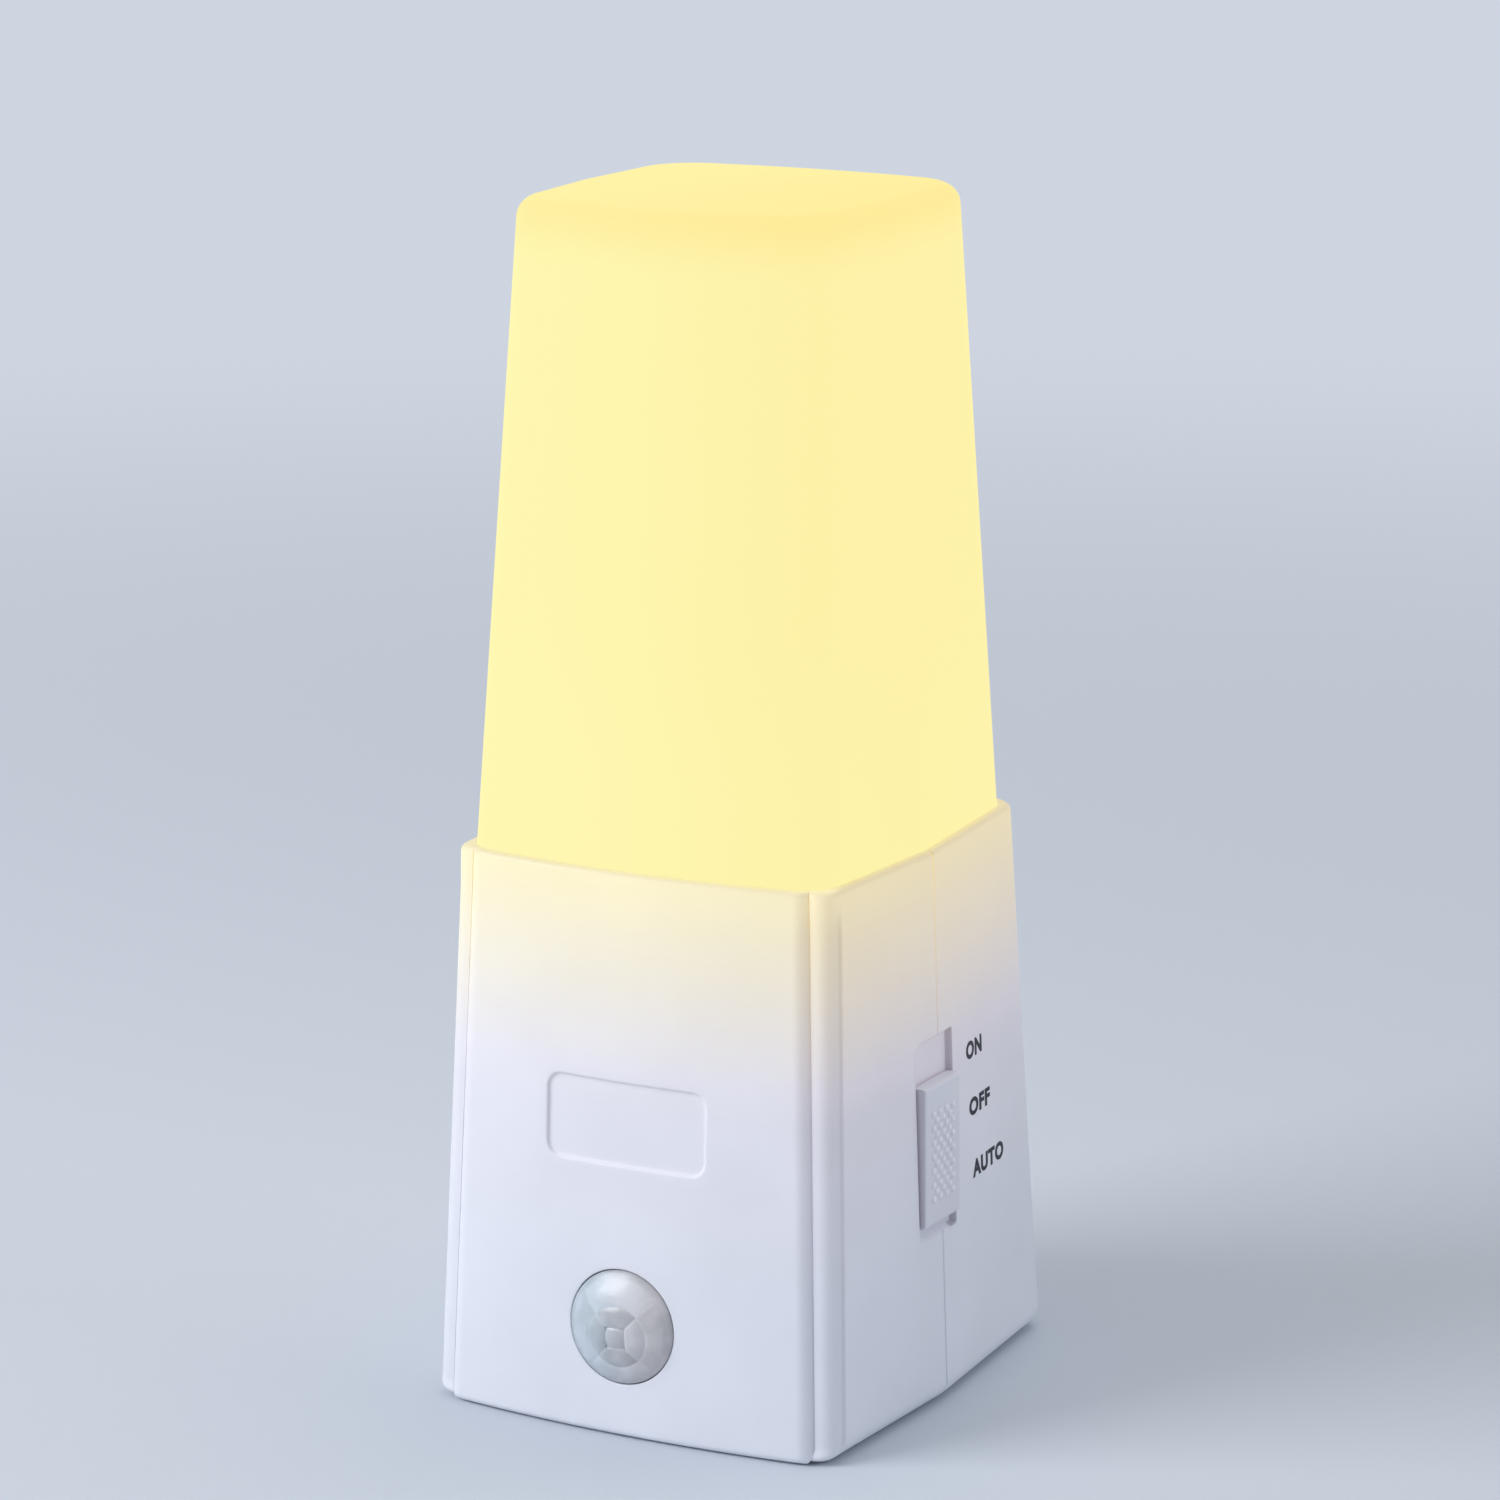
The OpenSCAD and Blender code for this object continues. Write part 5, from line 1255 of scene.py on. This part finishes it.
def cell_wrap(name):
    """Plain dark cell sleeve with a copper band at the nub end: the upper end, or the lower one on the middle
    cell, which stands upside down."""
    material, tree, shader, place = new_finish(name)
    axes = add_axes(tree, place)
    low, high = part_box("battery_cells")
    band_up, soft = 0.05, 0.0005
    band_down = low[2] + high[2] - band_up
    upper = add_range(tree, axes["Z"], band_up, band_up + soft)
    lower = add_range(tree, axes["Z"], band_down - soft, band_down, 1.0, 0.0)
    outer = add_range(tree, add_math(tree, "ABSOLUTE", axes["X"]), 0.0071, 0.0074)
    band = add_mix(tree, "MIX", outer, lower, upper)
    cloud = add_noise(tree, place, 300.0)
    feed(tree, shader, {
        "Base Color": add_ramp(tree, band, (0.0, (0.03, 0.032, 0.038)), (1.0, (0.5, 0.24, 0.09))),
        "Roughness": add_range(tree, cloud, 0.3, 0.7, 0.25, 0.4),
        "Metallic": 0.35,
        "Coat Weight": 0.3})
    return material


def lamp_resin(name):
    """Clear amber lamp resin that glows."""
    material = moulded(name, (0.9, 0.75, 0.4), 0.15)
    feed(material.node_tree, find_node(material.node_tree, "BSDF_PRINCIPLED"),
         {"Emission Color": (1.0, 0.8, 0.4, 1.0), "Emission Strength": 1.0})
    return material


def inner_finishes(finish):
    """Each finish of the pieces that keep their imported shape, with the names of those pieces."""
    wire_rough = 0.35
    return (
        (moulded("door_white", tuple(finish.shell), 0.46), ("battery_door", "light_deck")),
        (moulded("black_plastic", (0.02, 0.02, 0.022), 0.5, 2600.0),
         ("lens_retainer", "control_chip", "switch_lever")),
        (moulded("foot_rubber", (0.035, 0.035, 0.037), 0.75, 1800.0), ("rubber_feet",)),
        (plain_metal("plated_steel", (0.72, 0.72, 0.73), 0.28),
         ("pir_sensor", "board_screws", "switch_body", "switch_screws", "deck_screws", "led_screws",
          "hinge_pins", "contact_springs", "contact_plates", "shell_screws")),
        (circuit_mask("green_mask", (0.02, 0.13, 0.05)), ("main_board", "switch_board")),
        (circuit_mask("white_mask", (0.82, 0.83, 0.84)), ("led_board",)),
        (moulded("can_sleeve", (0.02, 0.035, 0.16), 0.3), ("capacitors",)),
        (cell_wrap("cell_sleeve"), ("battery_cells",)),
        (moulded("photocell_face", (0.42, 0.16, 0.07), 0.3), ("light_sensor",)),
        (lamp_resin("lamp_resin"), ("leds",)),
        (moulded("red_wire", (0.5, 0.02, 0.02), wire_rough), ("battery_lead_red",)),
        (moulded("black_wire", (0.02, 0.02, 0.02), wire_rough), ("battery_lead_black",)),
        (moulded("cream_wire", (0.6, 0.55, 0.42), wire_rough), ("led_leads",)),
        (moulded("yellow_wire", (0.75, 0.5, 0.03), wire_rough), ("switch_leads",)),
    )


# Stage

# Name, place and width in metres, power in watts and tint of each lamp
LAMPS = (("key", (-0.58, -0.60, 0.62), 0.6, 6.6, (0.98, 0.98, 1.0)),
         ("fill", (1.05, 0.35, 0.62), 0.9, 2.35, (0.92, 0.96, 1.0)),
         ("top", (0.1, 0.5, 1.3), 0.9, 3.5, (1.0, 0.98, 0.95)))
# Point that the lamps are turned to
LAMP_AIM = (0, 0, 0.08)


def blend_shaders(tree, target, fac, first, second):
    """Two shaders mixed into the output of a tree."""
    blend = add_node(tree, "MixShader", {"Fac": fac, 1: first, 2: second})
    feed(tree, target, {"Surface": blend.outputs["Shader"]})


def pale_floor(scene, stage):
    """A flat disc of rings that widen outwards, pale near the light and fading into the backdrop's colour."""
    turn = np.linspace(0, 2 * math.pi, 97)[:-1]
    reach = np.concatenate([[0.0], np.geomspace(0.05, 6.0, 24)])[:, None]
    points = np.stack([reach * np.cos(turn), reach * np.sin(turn), 0 * reach * turn], -1).reshape(-1, 3)
    mesh = bpy.data.meshes.new("floor")
    mesh.from_pydata(points.tolist(), [], quads(len(reach), len(turn), wrap=True).tolist())
    floor = bpy.data.objects.new("floor", mesh)
    scene.collection.objects.link(floor)
    material, tree, shader, place = new_finish("pale_floor")
    feed(tree, shader, {"Base Color": (*stage.floor, 1), "Roughness": 0.75})
    add_bump(tree, shader, add_noise(tree, place, 400.0), 0.05, 0.0002)
    far = add_node(tree, "VectorMath", {0: place}, operation="LENGTH").outputs["Value"]
    glow = add_node(tree, "Emission", {"Color": (*stage.backdrop, 1)}).outputs["Emission"]
    target = find_node(tree, "OUTPUT_MATERIAL")
    blend_shaders(tree, target, add_range(tree, far, 0.2, 0.9), shader.outputs["BSDF"], glow)
    mesh.materials.append(material)


def soft_room(scene, stage):
    """Soft cool light from all round, where the camera and shiny or clear faces see the pale backdrop."""
    scene.world = bpy.data.worlds.new("soft_room")
    scene.world.use_nodes = True
    tree = scene.world.node_tree
    tree.nodes.clear()
    path = add_node(tree, "LightPath").outputs
    seen = add_math(tree, "MAXIMUM", path["Is Camera Ray"], path["Is Glossy Ray"])
    seen = add_math(tree, "MAXIMUM", seen, path["Is Transmission Ray"])
    soft = add_node(tree, "Background", {"Color": (0.90, 0.93, 1.0, 1), "Strength": 0.42})
    pale = add_node(tree, "Background", {"Color": (*stage.backdrop, 1)})
    target = add_node(tree, "OutputWorld")
    blend_shaders(tree, target, seen, soft.outputs["Background"], pale.outputs["Background"])


def area_lamp(scene, name, place, size, power, tint):
    """A square lamp turned towards the middle of the light."""
    lamp = bpy.data.lights.new(name, "AREA")
    lamp.size = size
    lamp.energy = power
    lamp.color = tint
    holder = bpy.data.objects.new(name, lamp)
    holder.location = place
    holder.rotation_euler = (Vector(LAMP_AIM) - Vector(place)).to_track_quat("-Z", "Y").to_euler()
    scene.collection.objects.link(holder)


def set_camera(scene, stage):
    """The camera, set back from its aim in the direction of its azimuth and elevation, then rolled."""
    data = bpy.data.cameras.new("camera")
    data.sensor_width = 36.0
    data.lens = stage.focal
    data.clip_start = 0.01
    data.clip_end = 50.0
    camera = bpy.data.objects.new("camera", data)
    scene.collection.objects.link(camera)
    a, e = stage.azimuth, stage.elevation
    back = Vector((math.sin(a) * math.cos(e), -math.cos(a) * math.cos(e), math.sin(e)))
    aim = Vector((0, 0, stage.aim_z)) + Vector((math.cos(a), math.sin(a), 0)) * stage.aim_side
    facing = (-back).to_track_quat("-Z", "Y").to_matrix().to_4x4() @ Matrix.Rotation(stage.roll, 4, "Z")
    camera.matrix_world = Matrix.Translation(aim + back * stage.distance) @ facing
    scene.camera = camera


# Operators

class NIGHTLIGHT_OT_stage(bpy.types.Operator):
    """Pale floor and backdrop, soft lamps and the camera"""
    bl_idname = "night_light.stage"
    bl_label = "Stage"

    def execute(self, context):
        scene, stage = context.scene, context.scene.night_light_stage
        scene.view_settings.view_transform = "Standard"
        pale_floor(scene, stage)
        soft_room(scene, stage)
        for lamp in LAMPS:
            area_lamp(scene, *lamp)
        set_camera(scene, stage)
        return {"FINISHED"}


class NIGHTLIGHT_OT_base(bpy.types.Operator):
    """Two halves of the white base, with the front panel, the recess, the switch slot and the battery bay"""
    bl_idname = "night_light.base"
    bl_label = "Base halves"

    def execute(self, context):
        v, finish = sizes(context), context.scene.night_light_finish
        white = lit_shell(finish, v.base_h)
        for name, build, node in (("front_half", front_half_blocks, "front_shell"),
                                  ("rear_half", rear_half_blocks, "rear_shell")):
            blocks, shades = build(v)
            make_piece(name, blocks, "housing", white, replaces=[node], tone=shades)
        return {"FINISHED"}


class NIGHTLIGHT_OT_diffuser(bpy.types.Operator):
    """Tall lit diffuser"""
    bl_idname = "night_light.diffuser"
    bl_label = "Diffuser"

    def execute(self, context):
        v, finish = sizes(context), context.scene.night_light_finish
        make_piece("glow_cover", diffuser_blocks(v), "housing", lit_diffuser(finish),
                   replaces=["diffuser"])
        return {"FINISHED"}


class NIGHTLIGHT_OT_sensor(bpy.types.Operator):
    """Domed sensor lens with its lens cells"""
    bl_idname = "night_light.sensor"
    bl_label = "Sensor lens"

    def execute(self, context):
        v, finish = sizes(context), context.scene.night_light_finish
        blocks, tone = lens_blocks(v)
        make_piece("sensor_dome", blocks, "housing", milky_lens(finish), smooth=40.0,
                   replaces=["pir_lens"], tone=tone)
        return {"FINISHED"}


class NIGHTLIGHT_OT_knob(bpy.types.Operator):
    """Sliding switch knob with its grip bumps"""
    bl_idname = "night_light.knob"
    bl_label = "Switch knob"

    def execute(self, context):
        v, finish = sizes(context), context.scene.night_light_finish
        white = shaded(moulded("knob_white", tuple(finish.knob), 0.4))
        blocks, shades = knob_blocks(v)
        make_piece("slide_knob", blocks, "knob", white, smooth=50.0, replaces=["switch_knob"],
                   tone=shades)
        return {"FINISHED"}


class NIGHTLIGHT_OT_words(bpy.types.Operator):
    """Printed words beside the switch"""
    bl_idname = "night_light.words"
    bl_label = "Switch words"

    def execute(self, context):
        v, finish = sizes(context), context.scene.night_light_finish
        ink = moulded("printed_ink", tuple(finish.ink), 0.5)
        for word in WORDS:
            word_piece(v, *word, ink)
        return {"FINISHED"}


class NIGHTLIGHT_OT_inside(bpy.types.Operator):
    """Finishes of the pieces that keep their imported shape"""
    bl_idname = "night_light.inside"
    bl_label = "Inner pieces"

    def execute(self, context):
        for material, names in inner_finishes(context.scene.night_light_finish):
            for name in names:
                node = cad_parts[name]
                node.data.materials.clear()
                node.data.materials.append(material)
                weld = node.modifiers.new("weld", "WELD")
                weld.merge_threshold = 1e-6
        return {"FINISHED"}


class NIGHTLIGHT_PT_pieces(bpy.types.Panel):
    """Lists the steps that dress the night light"""
    bl_label = "Night light"
    bl_idname = "NIGHTLIGHT_PT_pieces"
    bl_space_type = "VIEW_3D"
    bl_region_type = "UI"
    bl_category = "Night light"

    def draw(self, context):
        for step in STEPS:
            self.layout.operator(step.bl_idname)


STEPS = (NIGHTLIGHT_OT_stage, NIGHTLIGHT_OT_base, NIGHTLIGHT_OT_diffuser, NIGHTLIGHT_OT_sensor,
         NIGHTLIGHT_OT_knob, NIGHTLIGHT_OT_words, NIGHTLIGHT_OT_inside)
SETTINGS = {**GROUPS, "night_light_finish": NightLightFinish, "night_light_stage": NightLightStage}


def register():
    """Registers the property groups, the operators and the panel."""
    for key, group in SETTINGS.items():
        bpy.utils.register_class(group)
        setattr(bpy.types.Scene, key, PointerProperty(type=group))
    for cls in (*STEPS, NIGHTLIGHT_PT_pieces):
        bpy.utils.register_class(cls)


def unregister():
    """Takes everything back out."""
    for cls in (NIGHTLIGHT_PT_pieces, *reversed(STEPS)):
        bpy.utils.unregister_class(cls)
    for key, group in reversed(SETTINGS.items()):
        delattr(bpy.types.Scene, key)
        bpy.utils.unregister_class(group)


def main():
    """Dresses the light step by step."""
    register()
    bpy.ops.night_light.stage()
    bpy.ops.night_light.base()
    bpy.ops.night_light.diffuser()
    bpy.ops.night_light.sensor()
    bpy.ops.night_light.knob()
    bpy.ops.night_light.words()
    bpy.ops.night_light.inside()


if __name__ == "__main__":
    main()
